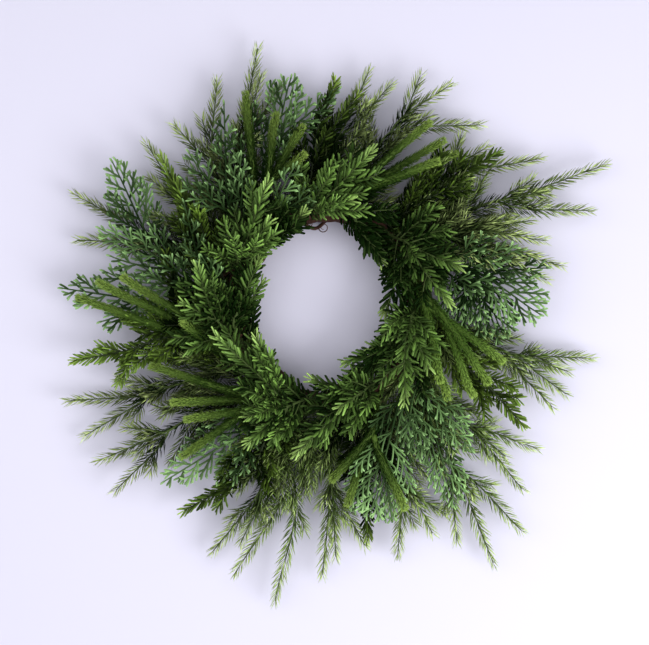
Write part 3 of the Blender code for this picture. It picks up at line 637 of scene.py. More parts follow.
class ShootPlanner:
    """Plans the shoots and twigs of one pick with needles.

    A pair of numbers is the least and the most of a random draw. SHOOT_LEAF and TWIG_LEAF say how large the
    leaves are along a line: the least, how much they swell, and the span and the lead of the half wave by
    which they do. A foxtail's shoots are ropes, thick up to their blunt ends.
    """

    # The axis and the branches.
    STEP = 3 * MM
    TAPER = 0.55
    LEAFY_EASE = 5 * MM
    BRANCH_BARE = 3 * MM
    SHOOT_RIPE = (0.85, 1)
    SHOOT_TONE = (-0.15, 0.15)
    SHOOT_LEAF = (0.82, 0.3, 0.9, 0.08)
    SHOOT_END_LOSS = 0.14
    ROPE_END = 9 * MM
    ROPE_BLUNT = 0.15
    ROPE_LEAF_END = 12 * MM
    ROPE_LEAF_BLUNT = 0.5

    # The twigs.
    TWIG_STEPS = 9
    TWIG_TAPER = 0.4
    TWIG_LENGTH = (0.62, 1)
    # Twigs lie among and under the main shoots and draw a lower tone than they do: partly random tone, partly
    # painted shade on the lower layer.
    TWIG_TONE_AND_SHADE = (-0.4, 0.25)
    TWIG_LEAF = (0.76, 0.28, 0.85, 0.1)
    TWIG_LEAFY_RISE = 8
    TWIG_LEAFY_LAG = 0.4
    TWIG_ROOT_RIPE = 0.25
    TWIG_SPACING = (0.75, 1.25)
    TWIG_FORWARD = 0.9
    TWIG_LEAST = 18 * MM
    TWIG_SHORTER = 0.6

    def __init__(self, placed: PlacedPick, seat: VineSeat) -> None:
        """Reads the rules of the pick's kind.

        Args:
            placed: the pick.
            seat: the ring.
        """
        self.placed = placed
        self.seat = seat
        self.leafage = LEAFAGES[placed.kind]
        self.rope = placed.kind is Greenery.FOXTAIL
        self.draw = random.Random(placed.name)

    @staticmethod
    def leaf_sizes(share: np.ndarray, least: float, swell: float, span: float, lead: float) -> np.ndarray:
        """The leaves' sizes along a line, which swell over a part of a half wave."""
        return least + swell * np.sin(np.pi * (share * span + lead))

    def main_shoot(self, track: Track, stem_length: float, leafy_from: float) -> Shoot:
        """The line of the axis or of a branch.

        Args:
            track: its line.
            stem_length: the length of the stem in it, 0 on a branch.
            leafy_from: where its leaves begin.

        Returns:
            The shoot.
        """
        habit, draw, rope = self.placed.habit, self.draw, self.leafage.twig
        places, points = track.stretch(0, track.length, self.STEP)
        share = np.clip((places - stem_length) / (track.length - stem_length), 0, 1)
        stem = FOOT_RADIUS + (habit.root - FOOT_RADIUS) * places / max(stem_length, self.STEP)
        leafy = np.clip((places - leafy_from) / self.LEAFY_EASE, 0, 1)
        ripe = share * draw.uniform(*self.SHOOT_RIPE)
        if self.rope:
            left = track.length - places
            thick = np.where(leafy > 0, rope, np.minimum(stem, rope))
            thick = thick * np.clip(left / self.ROPE_END + self.ROPE_BLUNT, 0, 1)
            size = np.clip(left / self.ROPE_LEAF_END + self.ROPE_LEAF_BLUNT, 0, 1)
        else:
            thick = np.where(places < stem_length, stem, habit.core * (1 - self.TAPER * share))
            size = self.leaf_sizes(share, *self.SHOOT_LEAF) - self.SHOOT_END_LOSS * share**3
        return Shoot(points, thick, leafy, ripe, size, self.placed.pick.tone + draw.uniform(*self.SHOOT_TONE))

    def twig(self, track: Track, place: float, sign: int, rule: TwigRule, longest: float) -> Shoot | None:
        """One twig, or None where it would reach into the hole, too low or too high.

        Args:
            track: the line that it grows from.
            place: where on it.
            sign: 1 for its right side, -1 for its left.
            rule: how it stands.
            longest: the longest that it may be.

        Returns:
            The twig.
        """
        draw = self.draw
        heading, side, up = track.frame(place)
        angle = math.radians(rule.angle + draw.uniform(-rule.spread, rule.spread))
        rise = math.radians(draw.uniform(-rule.hang, rule.rise))
        out = heading * math.cos(angle) + side * sign * math.sin(angle)
        out = out * math.cos(rise) + up * math.sin(rise)
        length = longest * draw.uniform(*self.TWIG_LENGTH)
        # Painted shade in part: a twig's tone is drawn darker on average than a shoot's.
        shade = self.placed.pick.tone + draw.uniform(*self.TWIG_TONE_AND_SHADE)
        start = track.at(place)
        onward = (out + heading * self.TWIG_FORWARD).normalized()
        end = start + (out + onward).normalized() * length
        line = np.array(bent(start, end, out, onward, self.TWIG_STEPS))
        if not self.seat.clear(line):
            return None
        share = np.linspace(0, 1, len(line))
        thick = self.leafage.twig * (1 - self.TWIG_TAPER * share)
        leafy = np.clip(share * self.TWIG_LEAFY_RISE - self.TWIG_LEAFY_LAG, 0, 1)
        ripe = rule.ripe * (self.TWIG_ROOT_RIPE + (1 - self.TWIG_ROOT_RIPE) * share)
        return Shoot(line, thick, leafy, ripe, self.leaf_sizes(share, *self.TWIG_LEAF), shade)

    def twigs(self, track: Track, start: float, end: float, rule: TwigRule) -> Iterator[Shoot]:
        """The twigs along a stretch, on both sides in turn. One without room is tried shorter and across.

        Args:
            track: the line that they grow from.
            start: where they begin.
            end: where they end.
            rule: how they stand.

        Yields:
            Each twig.
        """
        place, side_sign = start, self.draw.choice((-1, 1))
        while place < end:
            longest = min(rule.length, max(track.length - place, self.TWIG_LEAST))
            for sign, share in product((side_sign, -side_sign), (1, self.TWIG_SHORTER)):
                twig = self.twig(track, place, sign, rule, longest * share)
                if twig:
                    yield twig
                    break
            place += rule.spacing * self.draw.uniform(*self.TWIG_SPACING)
            side_sign = -side_sign

    def plan(self) -> list[Shoot]:
        """All the shoots of the pick."""
        placed, kind = self.placed, self.placed.kind
        foot, fork = placed.foot_length, placed.stem_length
        shoots = [self.main_shoot(placed.axis, fork, foot + (fork - foot) * LEAFY_FROM[kind])]
        axis, others = placed.axis, (*placed.branches, *placed.fillers)
        stretches = [(axis, foot, fork, STEM_TWIGS), (axis, fork, axis.length, SHOOT_TWIGS)]
        stretches += [(track, 0, track.length, SHOOT_TWIGS) for track in others]
        for track, start, end, rules in stretches:
            if track is not axis:
                shoots.append(self.main_shoot(track, 0, self.BRANCH_BARE))
            if kind in rules:
                rule = rules[kind]
                first, last = (start + (end - start) * share for share in (rule.start, rule.end))
                shoots += self.twigs(track, first, last, rule)
        return shoots


class FrondGrower:
    """Grows one flat frond: a rib with branchlets on both sides, which fork again and end in clubs.

    A pair of numbers is the least and the most of a random draw. The WIDE numbers shape the frond's outline:
    how wide it is at its root, how fast it widens from there, and how it rounds off to a blunt end.
    """

    STEP = 2 * MM
    TONE = (-0.2, 0.2)
    DROOP = 1.6
    WIDE_ROOT = 0.55
    WIDE_GAIN = 1.5
    WIDE_END = 1.28
    WIDE_ROUND = 0.75
    WIDE_BLUNT = 0.1

    # The rib.
    RIB = 1.2 * MM
    RIB_ROOT = 1.2
    RIB_TAPER = 0.6
    RIB_RIPE = 0.6
    RIB_BARE_END = 3 * MM

    # The branchlets on the rib and at its end.
    SPACING = 8.4 * MM
    UNEVEN = (0.85, 1.15)
    ANGLE = 44
    ANGLE_SPREAD = 6
    TURN_IN = 0.2
    CURVE = 16
    SLOPE = (-0.1, 0.14)
    LENGTH = (0.86, 1.05)
    END_SHARE = 1.2
    END_LENGTH = 6 * MM
    END_ROOT = 1 * MM
    END_ANGLE = 4
    END_TINT = 0.6

    # Their forks.
    FORK_SPACING = 5.2 * MM
    FORK_START = (0.5, 0.9)
    FORK_UNEVEN = (0.85, 1.2)
    FORK_ANGLE = 27
    FORK_REACH = (0.38, 0.54)
    FORK_BARE_END = 2.4 * MM
    SHORTEST_FORK = 6.5 * MM
    LONGEST_FORK = 20 * MM
    LEAST_FORKED = 11 * MM
    LAST_FORK = 5.5 * MM
    LAST_FORK_PLACE = (0.5, 0.7)

    # How thick and how ripe each of them is.
    STALK = 1.12 * MM
    STALK_ROOT = 1.05
    STALK_LOSS = 0.08
    STALK_END = 0.6
    CLUB = 1.26 * MM
    CLUB_LENGTH = 5 * MM
    CLUB_WAVE = 0.72
    RIPE_BY_PLACE = 0.5
    RIPE_BY_LEVEL = 0.18
    RIPE_BY_RUN = 0.35

    def __init__(self, track: Track, width: float, bare: float, tone: float, draw: random.Random) -> None:
        """Keeps the frond's line and width.

        Args:
            track: its rib.
            width: its full width.
            bare: how long its rib is without branchlets.
            tone: how light its pick is.
            draw: the source of its random draws.
        """
        self.track = track
        self.half = width / 2
        self.bare = bare
        self.draw = draw
        self.shade = tone + draw.uniform(*self.TONE)
        self.shoots = []

    def envelope(self, place: float) -> float:
        """How far the frond reaches to each side of its rib here."""
        share = (place - self.bare) / (self.track.length - self.bare)
        widening = self.WIDE_ROOT + self.WIDE_GAIN * share
        rounding = self.WIDE_END * (1 - share) ** self.WIDE_ROUND + self.WIDE_BLUNT
        return self.half * min(widening, rounding, 1)

    def on_sheet(self, along: float, aside: float, lift: float) -> Vector:
        """A point of the frond's arched sheet.

        Args:
            along: the distance along the rib.
            aside: the distance to its right.
            lift: the height over the sheet.

        Returns:
            The point.
        """
        place = min(max(along, 0), self.track.length)
        heading, side, up = self.track.frame(place)
        sag = self.DROOP * aside * aside
        return self.track.at(place) + heading * (along - place) + side * aside + up * (lift - sag)

    def branchlet(self, root: Polar, angle: float, sign: int, length: float, level: int, tint: float) -> None:
        """Adds a branchlet and what forks from it.

        Args:
            root: along, aside and lift of its root.
            angle: its angle from the rib in degrees.
            sign: the side of the rib to which it bends away.
            length: its length.
            level: 0 on the rib, 1 and 2 on the forks.
            tint: how much lighter it is than its frond.
        """
        draw = self.draw
        slope = draw.uniform(*self.SLOPE)
        count = max(3, int(length / self.STEP))
        step = length / count
        rows, (along, aside, lift) = [root], root
        turn = angle
        for _ in range(count):
            turn -= self.CURVE / count
            along += step * math.cos(math.radians(turn))
            aside += step * math.sin(math.radians(turn)) * sign
            lift += step * slope
            rows.append((along, aside, lift))
        self.shoots.append(self.stalk(rows, length, level, tint))
        if level == 2 or length < self.LEAST_FORKED:
            return
        if level == 1:
            index = round(count * draw.uniform(*self.LAST_FORK_PLACE))
            turned = angle - self.CURVE * index / count + self.FORK_ANGLE * draw.choice((-1, 1))
            self.branchlet(rows[index], turned, sign, self.LAST_FORK, 2, tint)
            return
        place, fork_sign = self.FORK_SPACING * draw.uniform(*self.FORK_START), 1
        while place < length - self.FORK_BARE_END:
            index = min(count, int(place / step))
            reach = self.SHORTEST_FORK + (length - place) * draw.uniform(*self.FORK_REACH)
            turned = angle - self.CURVE * place / length + self.FORK_ANGLE * fork_sign
            own = tint + draw.uniform(*self.TONE)
            self.branchlet(rows[index], turned, sign, min(reach, self.LONGEST_FORK), level + 1, own)
            place += self.FORK_SPACING * draw.uniform(*self.FORK_UNEVEN)
            fork_sign = -fork_sign

    def stalk(self, rows: list[Polar], length: float, level: int, tint: float) -> Shoot:
        """The line of one branchlet, thicker in its club and riper the further out it is.

        Args:
            rows: along, aside and lift of its points.
            length: its length.
            level: 0 on the rib, 1 and 2 on the forks.
            tint: how much lighter it is than its frond.

        Returns:
            The line.
        """
        run = np.linspace(0, length, len(rows))
        club = np.clip(1 - (length - run) / self.CLUB_LENGTH, 0, 1)
        swell = np.sin(club * math.pi * self.CLUB_WAVE)
        thick = self.STALK * (self.STALK_ROOT - self.STALK_LOSS * level) + (self.CLUB - self.STALK) * swell
        thick[-1] *= self.STALK_END
        base = min(1, max(0, rows[0][0] / self.track.length))
        ripe = base * self.RIPE_BY_PLACE + self.RIPE_BY_LEVEL * level
        ripe = np.clip(ripe + self.RIPE_BY_RUN * run / max(length, self.STEP), 0, 1)
        points = np.array([self.on_sheet(*row) for row in rows])
        return Shoot(points, thick, run, ripe, np.ones(len(rows)), self.shade, tint)

    def plan(self) -> list[Shoot]:
        """All the lines of the frond."""
        draw, rib_length = self.draw, self.track.length
        places, points = self.track.stretch(0, rib_length, self.STEP)
        share = places / rib_length
        thick = self.RIB * (self.RIB_ROOT - self.RIB_TAPER * share)
        ripe = share * self.RIB_RIPE
        self.shoots.append(Shoot(points, thick, places, ripe, np.ones(len(places)), self.shade))
        place, sign = self.bare * 0.5, draw.choice((-1, 1))
        while place < rib_length - self.RIB_BARE_END:
            angle = self.ANGLE + draw.uniform(-self.ANGLE_SPREAD, self.ANGLE_SPREAD)
            length = self.envelope(max(place, self.bare)) / math.sin(math.radians(angle - self.CURVE / 2))
            left = (rib_length - place) * self.END_SHARE + self.END_LENGTH
            length = min(length * draw.uniform(*self.LENGTH), left)
            angle *= 1 - self.TURN_IN * (place / rib_length)
            self.branchlet((place, 0, 0), angle, sign, length, 0, draw.random())
            place += self.SPACING * draw.uniform(*self.UNEVEN)
            sign = -sign
        root = (rib_length - self.END_ROOT, 0, 0)
        self.branchlet(root, self.END_ANGLE, 1, self.END_LENGTH, 1, self.END_TINT)
        return self.shoots


def linked(name: str, data: bpy.types.ID) -> bpy.types.Object:
    """A new object with this data, linked to the scene."""
    thing = bpy.data.objects.new(name, data)
    bpy.context.scene.collection.objects.link(thing)
    return thing


def mark(mesh: bpy.types.Mesh, name: str, values: np.ndarray | list[float]) -> None:
    """Gives each point of a mesh a value of this name."""
    mesh.attributes.new(name, "FLOAT", "POINT").data.foreach_set("value", values)


def line_object(name: str, shoots: list[Shoot]) -> bpy.types.Object:
    """An object whose edges are the shoots' lines, with their values as attributes of its points.

    Args:
        name: the object's name.
        shoots: the shoots.

    Returns:
        The object, linked to the scene.
    """
    edges, first = [], 0
    for shoot in shoots:
        last = first + len(shoot.points) - 1
        edges += [(i, i + 1) for i in range(first, last)]
        first = last + 1
    mesh = bpy.data.meshes.new(name)
    mesh.from_pydata(np.concatenate([shoot.points for shoot in shoots]).tolist(), edges, [])
    for key in ("shade", "tint", "thick", "leafy", "ripe", "size"):
        rows = [np.broadcast_to(getattr(shoot, key), len(shoot.points)) for shoot in shoots]
        mark(mesh, key, np.concatenate(rows).astype(np.float32))
    return linked(name, mesh)


def add_node(
    tree: bpy.types.NodeTree, kind: str, inputs: dict, output: object = 0, **settings: object
) -> Socket:
    """Adds a node to a tree.

    Args:
        tree: the tree.
        kind: the node's type.
        inputs: sockets or values for its inputs, by name or number.
        output: the name or number of the output wanted.
        settings: the node's own settings.

    Returns:
        That output.
    """
    node = tree.nodes.new(kind)
    for key, value in settings.items():
        setattr(node, key, value)
    for key, value in inputs.items():
        if isinstance(value, Socket):
            tree.links.new(value, node.inputs[key])
        else:
            node.inputs[key].default_value = value
    return node.outputs[output]


class NodeTree:
    """A node tree under construction, with short ways to add nodes and links."""

    def __init__(self, name: str, kind: str) -> None:
        """Makes a tree of this name and type."""
        self.tree = bpy.data.node_groups.new(name, kind)
        self.entry = self.tree.nodes.new("NodeGroupInput")
        self.exit = self.tree.nodes.new("NodeGroupOutput")
        self.sockets = {}

    def ask(self, name: str, kind: str) -> Socket:
        """Adds a named input.

        Args:
            name: its name.
            kind: the short name of its socket type, such as Float.

        Returns:
            The socket inside the tree that carries it.
        """
        socket = self.tree.interface.new_socket(name, in_out="INPUT", socket_type=f"NodeSocket{kind}")
        self.sockets[name] = socket.identifier
        return self.entry.outputs[name]

    def give(self, name: str, kind: str, source: Socket) -> None:
        """Adds a named output and feeds it."""
        self.tree.interface.new_socket(name, in_out="OUTPUT", socket_type=f"NodeSocket{kind}")
        self.tree.links.new(source, self.exit.inputs[name])

    def add(self, kind: str, inputs: dict, output: object = 0, **settings: object) -> Socket:
        """Adds a node as add_node does, and gives the output wanted."""
        return add_node(self.tree, kind, inputs, output, **settings)

    def math(self, operation: str, *values: object) -> Socket:
        """Adds a Math node with these sockets or numbers."""
        return self.add("ShaderNodeMath", dict(enumerate(values)), operation=operation)


class Growth(NodeTree):
    """A Geometry Nodes tree that clothes lines."""

    def __init__(self, name: str) -> None:
        """Makes a tree of this name that begins with its lines."""
        super().__init__(name, "GeometryNodeTree")
        lines = self.add("GeometryNodeMeshToCurve", {0: self.ask("Geometry", "Geometry")})
        self.curve = self.add("GeometryNodeSetCurveNormal", {"Curve": lines}, mode="Z_UP")

    def named(self, name: str, kind: str = "FLOAT") -> Socket:
        """The values of an attribute."""
        return self.add("GeometryNodeInputNamedAttribute", {"Name": name}, data_type=kind)

    def tubes(self, squash: float, sides: int, finish: Socket) -> Socket:
        """Turns the lines into tubes.

        Args:
            squash: the height of a tube's section as a share of its width.
            sides: the sides of the section.
            finish: the tubes' material.

        Returns:
            The tubes.
        """
        inputs = {"Resolution": sides, "Radius": 1.0}
        ring = self.add("GeometryNodeCurvePrimitiveCircle", inputs, mode="RADIUS")
        section = self.add("GeometryNodeTransform", {"Geometry": ring, "Scale": (1, squash, 1)})
        thick = self.named("thick")
        inputs = {"Curve": self.curve, "Profile Curve": section, "Scale": thick, "Fill Caps": True}
        tubes = self.add("GeometryNodeCurveToMesh", inputs)
        tubes = self.add("GeometryNodeSetShadeSmooth", {"Geometry": tubes})
        return self.add("GeometryNodeSetMaterial", {"Geometry": tubes, "Material": finish})

    def grow(self, thing: bpy.types.Object, values: dict) -> bpy.types.Object:
        """Clothes an object's lines and keeps the result as its own mesh.

        Args:
            thing: the object.
            values: the tree's inputs by name.

        Returns:
            The same object, without modifiers.
        """
        modifier = thing.modifiers.new("growth", "NODES")
        modifier.node_group = self.tree
        for name, value in values.items():
            modifier[self.sockets[name]] = value
        bpy.context.view_layer.update()
        graph = bpy.context.evaluated_depsgraph_get()
        mesh = bpy.data.meshes.new_from_object(thing.evaluated_get(graph))
        thing.modifiers.clear()
        thing.data = mesh
        return thing


class NeedleGrowth(Growth):
    """Clothes lines with needles and gives them a stem.

    A pair of numbers is the least and the most of a random draw. A point of the line grows a needle where it
    is leafier than its draw. ROLL and LEAN are in radians and SIZE is a share of the needle's full size.
    """

    MEASURES = ("Spacing", "Lean at root", "Lean at tip", "Flatness", "Hook", "Faced")
    STEM_SIDES = 6
    GOLDEN_ANGLE = 2.39996
    LEAFY = (0.02, 1.0)
    TINT = (0.0, 1.0)
    ROLL = (-0.7, 0.7)
    LEAN = (-0.14, 0.14)
    SIZE = (0.84, 1.12)
    HOOK_POWER = 2.0
    SEED_STEP = 17.0

    def __init__(self) -> None:
        """Builds the tree."""
        super().__init__("needles on shoots")
        needle = self.ask("Needle", "Object")
        needle_finish, stem_finish = (self.ask(f"{part} finish", "Material") for part in ("Needle", "Stem"))
        spacing, lean_root, lean_tip, flat, hook, faced = (self.ask(name, "Float") for name in self.MEASURES)
        self.seed = self.ask("Seed", "Int")

        spread = self.tree.nodes.new("GeometryNodeCurveToPoints")
        spread.mode = "LENGTH"
        self.tree.links.new(self.curve, spread.inputs["Curve"])
        self.tree.links.new(spacing, spread.inputs["Length"])
        bare = self.math("LESS_THAN", self.named("leafy"), self.chance(self.LEAFY, 1))
        points = self.store(spread.outputs["Points"], "tint", self.chance(self.TINT, 2), "FLOAT")
        points = self.store(points, "turned", spread.outputs["Rotation"], "QUATERNION")
        points = self.store(points, "onward", spread.outputs["Tangent"], "FLOAT_VECTOR")
        inputs = {"Geometry": points, "Selection": bare}
        points = self.add("GeometryNodeDeleteGeometry", inputs, domain="POINT")

        roll = self.math("MULTIPLY", self.add("GeometryNodeInputIndex", {}), self.GOLDEN_ANGLE)
        roll = self.math("ADD", roll, self.chance(self.ROLL, 3))
        sine = self.math("MULTIPLY", self.math("SINE", roll), flat)
        roll = self.math("ARCTAN2", sine, self.math("COSINE", roll))
        leans = {0: self.named("ripe"), 2: lean_root, 3: lean_tip}
        lean = self.add("ShaderNodeMix", leans, data_type="FLOAT")
        lean = self.math("ADD", lean, self.chance(self.LEAN, 4))
        back = self.math("MULTIPLY", self.math("COSINE", roll), -1.0)
        away = self.math("MULTIPLY", self.math("SINE", roll), -1.0)
        face = self.math("ARCTAN2", back, self.math("MULTIPLY", away, self.math("COSINE", lean)))
        face = self.math("MULTIPLY", face, faced)
        rotation = self.named("turned", "QUATERNION")
        for axis, angle in ((2, roll), (1, lean), (2, face)):
            vector = self.add("ShaderNodeCombineXYZ", {axis: angle})
            step = self.add("FunctionNodeEulerToRotation", {0: vector})
            rotation = self.add("FunctionNodeRotateRotation", {0: rotation, 1: step}, rotation_space="LOCAL")

        shape = self.add("GeometryNodeObjectInfo", {"Object": needle}, "Geometry")
        scale = self.math("MULTIPLY", self.named("size"), self.chance(self.SIZE, 5))
        inputs = {"Points": points, "Instance": shape, "Rotation": rotation, "Scale": scale}
        needles = self.add("GeometryNodeInstanceOnPoints", inputs)
        needles = self.add("GeometryNodeRealizeInstances", {"Geometry": needles})
        reach = self.math("MULTIPLY", self.math("POWER", self.named("along"), self.HOOK_POWER), hook)
        inputs = {0: self.named("onward", "FLOAT_VECTOR"), "Scale": reach}
        offset = self.add("ShaderNodeVectorMath", inputs, operation="SCALE")
        needles = self.add("GeometryNodeSetPosition", {"Geometry": needles, "Offset": offset})
        needles = self.add("GeometryNodeSetShadeSmooth", {"Geometry": needles})
        needles = self.add("GeometryNodeSetMaterial", {"Geometry": needles, "Material": needle_finish})
        joint = self.tree.nodes.new("GeometryNodeJoinGeometry")
        for part in (self.tubes(1.0, self.STEM_SIDES, stem_finish), needles):
            self.tree.links.new(part, joint.inputs[0])
        self.give("Geometry", "Geometry", joint.outputs[0])

    def chance(self, span: tuple[float, float], salt: int) -> Socket:
        """A random number for each point.

        Args:
            span: the least and the most.
            salt: a number of this draw's own.

        Returns:
            The numbers.
        """
        inputs = {2: span[0], 3: span[1], "Seed": self.math("ADD", self.seed, self.SEED_STEP * salt)}
        return self.add("FunctionNodeRandomValue", inputs, 1, data_type="FLOAT")

    def store(self, points: Socket, name: str, values: Socket, kind: str) -> Socket:
        """Keeps values as an attribute of the points."""
        inputs = {"Geometry": points, "Name": name, "Value": values}
        return self.add("GeometryNodeStoreNamedAttribute", inputs, data_type=kind, domain="POINT")


class BranchletGrowth(Growth):
    """Turns the lines of a frond into flattened branchlets."""

    SQUASH = 0.62
    SIDES = 5

    def __init__(self) -> None:
        """Builds the tree."""
        super().__init__("branchlets")
        tubes = self.tubes(self.SQUASH, self.SIDES, self.ask("Finish", "Material"))
        self.give("Geometry", "Geometry", tubes)


@dataclass(frozen=True)
class NeedleShape:
    """A needle along +Z, built from rings of three or four corners.

    Attributes:
        name: its name.
        length: its length.
        width: its width.
        depth: its thickness.
        rings: (share of the length, share of the width) of each ring.
        blade: whether it is a flat blade with a groove along its upper side.
        start: the share of the length at which it begins, for a needle that comes out of a thick shoot.
    """

    name: str
    length: float
    width: float
    depth: float
    rings: tuple[tuple[float, float], ...]
    blade: bool = False
    start: float = 0
    GROOVE = 0.35

    def corners(self, share: float) -> list[tuple[float, float, float]]:
        """(x, y, how far from the midrib) of a ring's corners, which is this share of the full width."""
        half, deep = self.width / 2 * share, self.depth / 2
        if self.blade:
            return [(0, half, 1), (deep * self.GROOVE, 0, 0), (0, -half, 1), (-deep, 0, 0)]
        turns = (math.tau * k / 3 for k in range(3))
        return [(math.cos(turn) * deep * share, math.sin(turn) * half, 0.5) for turn in turns]

    def build(self) -> bpy.types.Object:
        """The needle as an object, with its attributes along and cross."""
        rows = [((0.0, 0.0, self.length * self.start), 0.0, 0.0)]
        for place, share in self.rings:
            part = (place - self.start) / (1 - self.start)
            rows += [((x, y, self.length * place), part, apart) for x, y, apart in self.corners(share)]
        rows.append(((0.0, 0.0, self.length), 1.0, 0.0))
        vertices, along, cross = zip(*rows)
        sides = 4 if self.blade else 3
        faces, top = [], len(rows) - 1 - sides
        for k in range(sides):
            after = (k + 1) % sides
            faces.append((0, 1 + after, 1 + k))
            for low in range(1, top, sides):
                faces.append((low + k, low + after, low + sides + after, low + sides + k))
            faces.append((top + k, top + after, len(rows) - 1))
        mesh = bpy.data.meshes.new(self.name)
        mesh.from_pydata(vertices, [], faces)
        mark(mesh, "along", along)
        mark(mesh, "cross", cross)
        return linked(self.name, mesh)


NEEDLE_SHAPES = {
    Greenery.SPRUCE: NeedleShape(
        "spruce_needle", length=13.5 * MM, width=2.2 * MM, depth=1.3 * MM, rings=((0.55, 1),)
    ),
    Greenery.LOW_FIR: NeedleShape(
        "low_fir_needle", length=11 * MM, width=2.4 * MM, depth=0.6 * MM,
        rings=((0.2, 0.7), (0.85, 0.9)), blade=True,
    ),
    Greenery.FIR: NeedleShape(
        "fir_needle", length=11 * MM, width=2.9 * MM, depth=0.8 * MM,
        rings=((0.12, 0.5), (0.5, 1), (0.93, 0.8)), blade=True,
    ),
    Greenery.FOXTAIL: NeedleShape(
        "foxtail_needle", length=11 * MM, width=0.75 * MM, depth=0.7 * MM, rings=((0.74, 1),), start=0.55
    ),
}


class LeafTone(NodeTree):
    """The node group that mixes a leaf's colour from where it stands.

    How young a leaf looks comes from how ripe it is, its own tint, its spray's shade and patches. The shoot's
    end takes up the tip's colour, and the leaf is painted darker at its root, by the stem, and a little
    lighter towards its own end: painted shade.
    """

    COLOURS = ("Deep", "Fresh", "Tip")
    WAYS = ("Tip from", "Rim", "Lift", "Patch", "Vary")
    PLACES = ("Ripe", "Tint", "Along", "Shade", "Cross")
    PATCH_SCALE = 28.0
    PATCH_DETAIL = 2.0
    MIDDLE = 0.5
    BY_RIPE = 0.62
    BY_TINT = 0.42
    BY_SHADE = 0.7
    EVEN_SHADE = 0.4
    CONTRAST = 1.65
    TIP_SHARE = 0.7
    TIP_TINT = 0.5
    ROOT_SHADE_EVEN = 0.7
    TINT_LIGHT = 0.3

    def __init__(self) -> None:
        """Builds the group."""
        super().__init__("leaf tone", "ShaderNodeTree")
        deep, fresh, tip = (self.ask(name, "Color") for name in self.COLOURS)
        tip_from, rim, lift, patch, vary = (self.ask(name, "Float") for name in self.WAYS)
        ripe, tint, along, shade, cross = (self.ask(name, "Float") for name in self.PLACES)

        place = self.add("ShaderNodeTexCoord", {}, "Object")
        inputs = {"Vector": place, "Scale": self.PATCH_SCALE, "Detail": self.PATCH_DETAIL}
        noise = self.over(self.add("ShaderNodeTexNoise", inputs, "Fac"), self.MIDDLE, patch)
        own = self.over(tint, self.MIDDLE, vary)
        young = self.math("MULTIPLY", ripe, self.BY_RIPE)
        young = self.math("ADD", young, self.math("MULTIPLY", own, self.BY_TINT))
        young = self.math("ADD", young, self.over(shade, self.EVEN_SHADE, self.BY_SHADE))
        young = self.add("ShaderNodeMath", {0: young, 1: noise}, operation="ADD", use_clamp=True)
        young = self.math("POWER", young, self.CONTRAST)
        colour = self.mix(young, deep, fresh)

        inputs = {"Value": ripe, "From Min": tip_from, "From Max": 1.0}
        ended = self.add("ShaderNodeMapRange", inputs, "Result")
        share = self.math("ADD", self.math("MULTIPLY", own, self.TIP_TINT), self.TIP_SHARE)
        colour = self.mix(self.math("MULTIPLY", ended, share), colour, tip)

        # Painted shade: the leaf is darker at its root, by the stem, and a little lighter towards its end.
        light = self.math("ADD", self.over(along, self.ROOT_SHADE_EVEN, lift), 1.0)
        light = self.math("ADD", light, self.math("MULTIPLY", cross, rim))
        light = self.math("ADD", light, self.math("MULTIPLY", own, self.TINT_LIGHT))
        bright = self.add("ShaderNodeVectorMath", {0: colour, "Scale": light}, operation="SCALE")
        self.give("Colour", "Color", bright)
        self.give("Wax", "Float", young)

    def over(self, value: object, middle: float, factor: object) -> Socket:
        """How far a value is over its middle, times a factor."""
        return self.math("MULTIPLY", self.math("SUBTRACT", value, middle), factor)

    def mix(self, share: object, low: object, high: object) -> Socket:
        """Mixes two colours."""
        return self.add("ShaderNodeMix", {0: share, 6: low, 7: high}, 2, data_type="RGBA")


def shaded(name: str, roughness: float, gloss: float) -> tuple[bpy.types.Material, bpy.types.ShaderNode]:
    """A new material and its shader.

    Args:
        name: the material's name.
        roughness: how rough it is.
        gloss: how strongly it mirrors.

    Returns:
        The material, and its shader.
    """
    material = bpy.data.materials.new(name)
    material.use_nodes = True
    shader = material.node_tree.nodes["Principled BSDF"]
    shader.inputs["Roughness"].default_value = roughness
    shader.inputs["Specular IOR Level"].default_value = gloss
    return material, shader


@dataclass(frozen=True)
class LeafFinish:
    """The colours of a kind's leaves.

    Attributes:
        name: the material's name.
        deep: the oldest leaves.
        fresh: the youngest.
        tip: the ends of the shoots.
        tip_from: how ripe a leaf is where the colour of the shoot's end begins.
        rim: how much the leaf's edges are lighter than its middle.
        lift: how much it is lighter at its end than at its root, a painted shade by the stem.
        patch: how much the tone changes from place to place.
        vary: how much it changes from leaf to leaf.
        roughness: how rough its surface is.
    """

    name: str
    deep: Colour
    fresh: Colour
    tip: Colour
    tip_from: float
    rim: float
    lift: float
    patch: float
    vary: float
    roughness: float
    GLOSS = 0.02

    def build(self, tone: LeafTone) -> bpy.types.Material:
        """Makes the material.

        Args:
            tone: the node group that mixes the leaf's colour.

        Returns:
            The material.
        """
        material, shader = shaded(self.name, self.roughness, self.GLOSS)
        tree = material.node_tree
        mixed = tree.nodes.new("ShaderNodeGroup")
        mixed.node_tree = tone.tree
        for key in tone.COLOURS:
            mixed.inputs[key].default_value = (*getattr(self, key.lower()), 1)
        for key in tone.WAYS:
            mixed.inputs[key].default_value = getattr(self, key.lower().replace(" ", "_"))
        for key in tone.PLACES:
            value = add_node(tree, "ShaderNodeAttribute", {}, "Fac", attribute_name=key.lower())
            tree.links.new(value, mixed.inputs[key])
        tree.links.new(mixed.outputs["Colour"], shader.inputs["Base Color"])
        tree.links.new(mixed.outputs["Wax"], shader.inputs["Coat Weight"])
        shader.inputs["Coat Roughness"].default_value = self.roughness
        return material


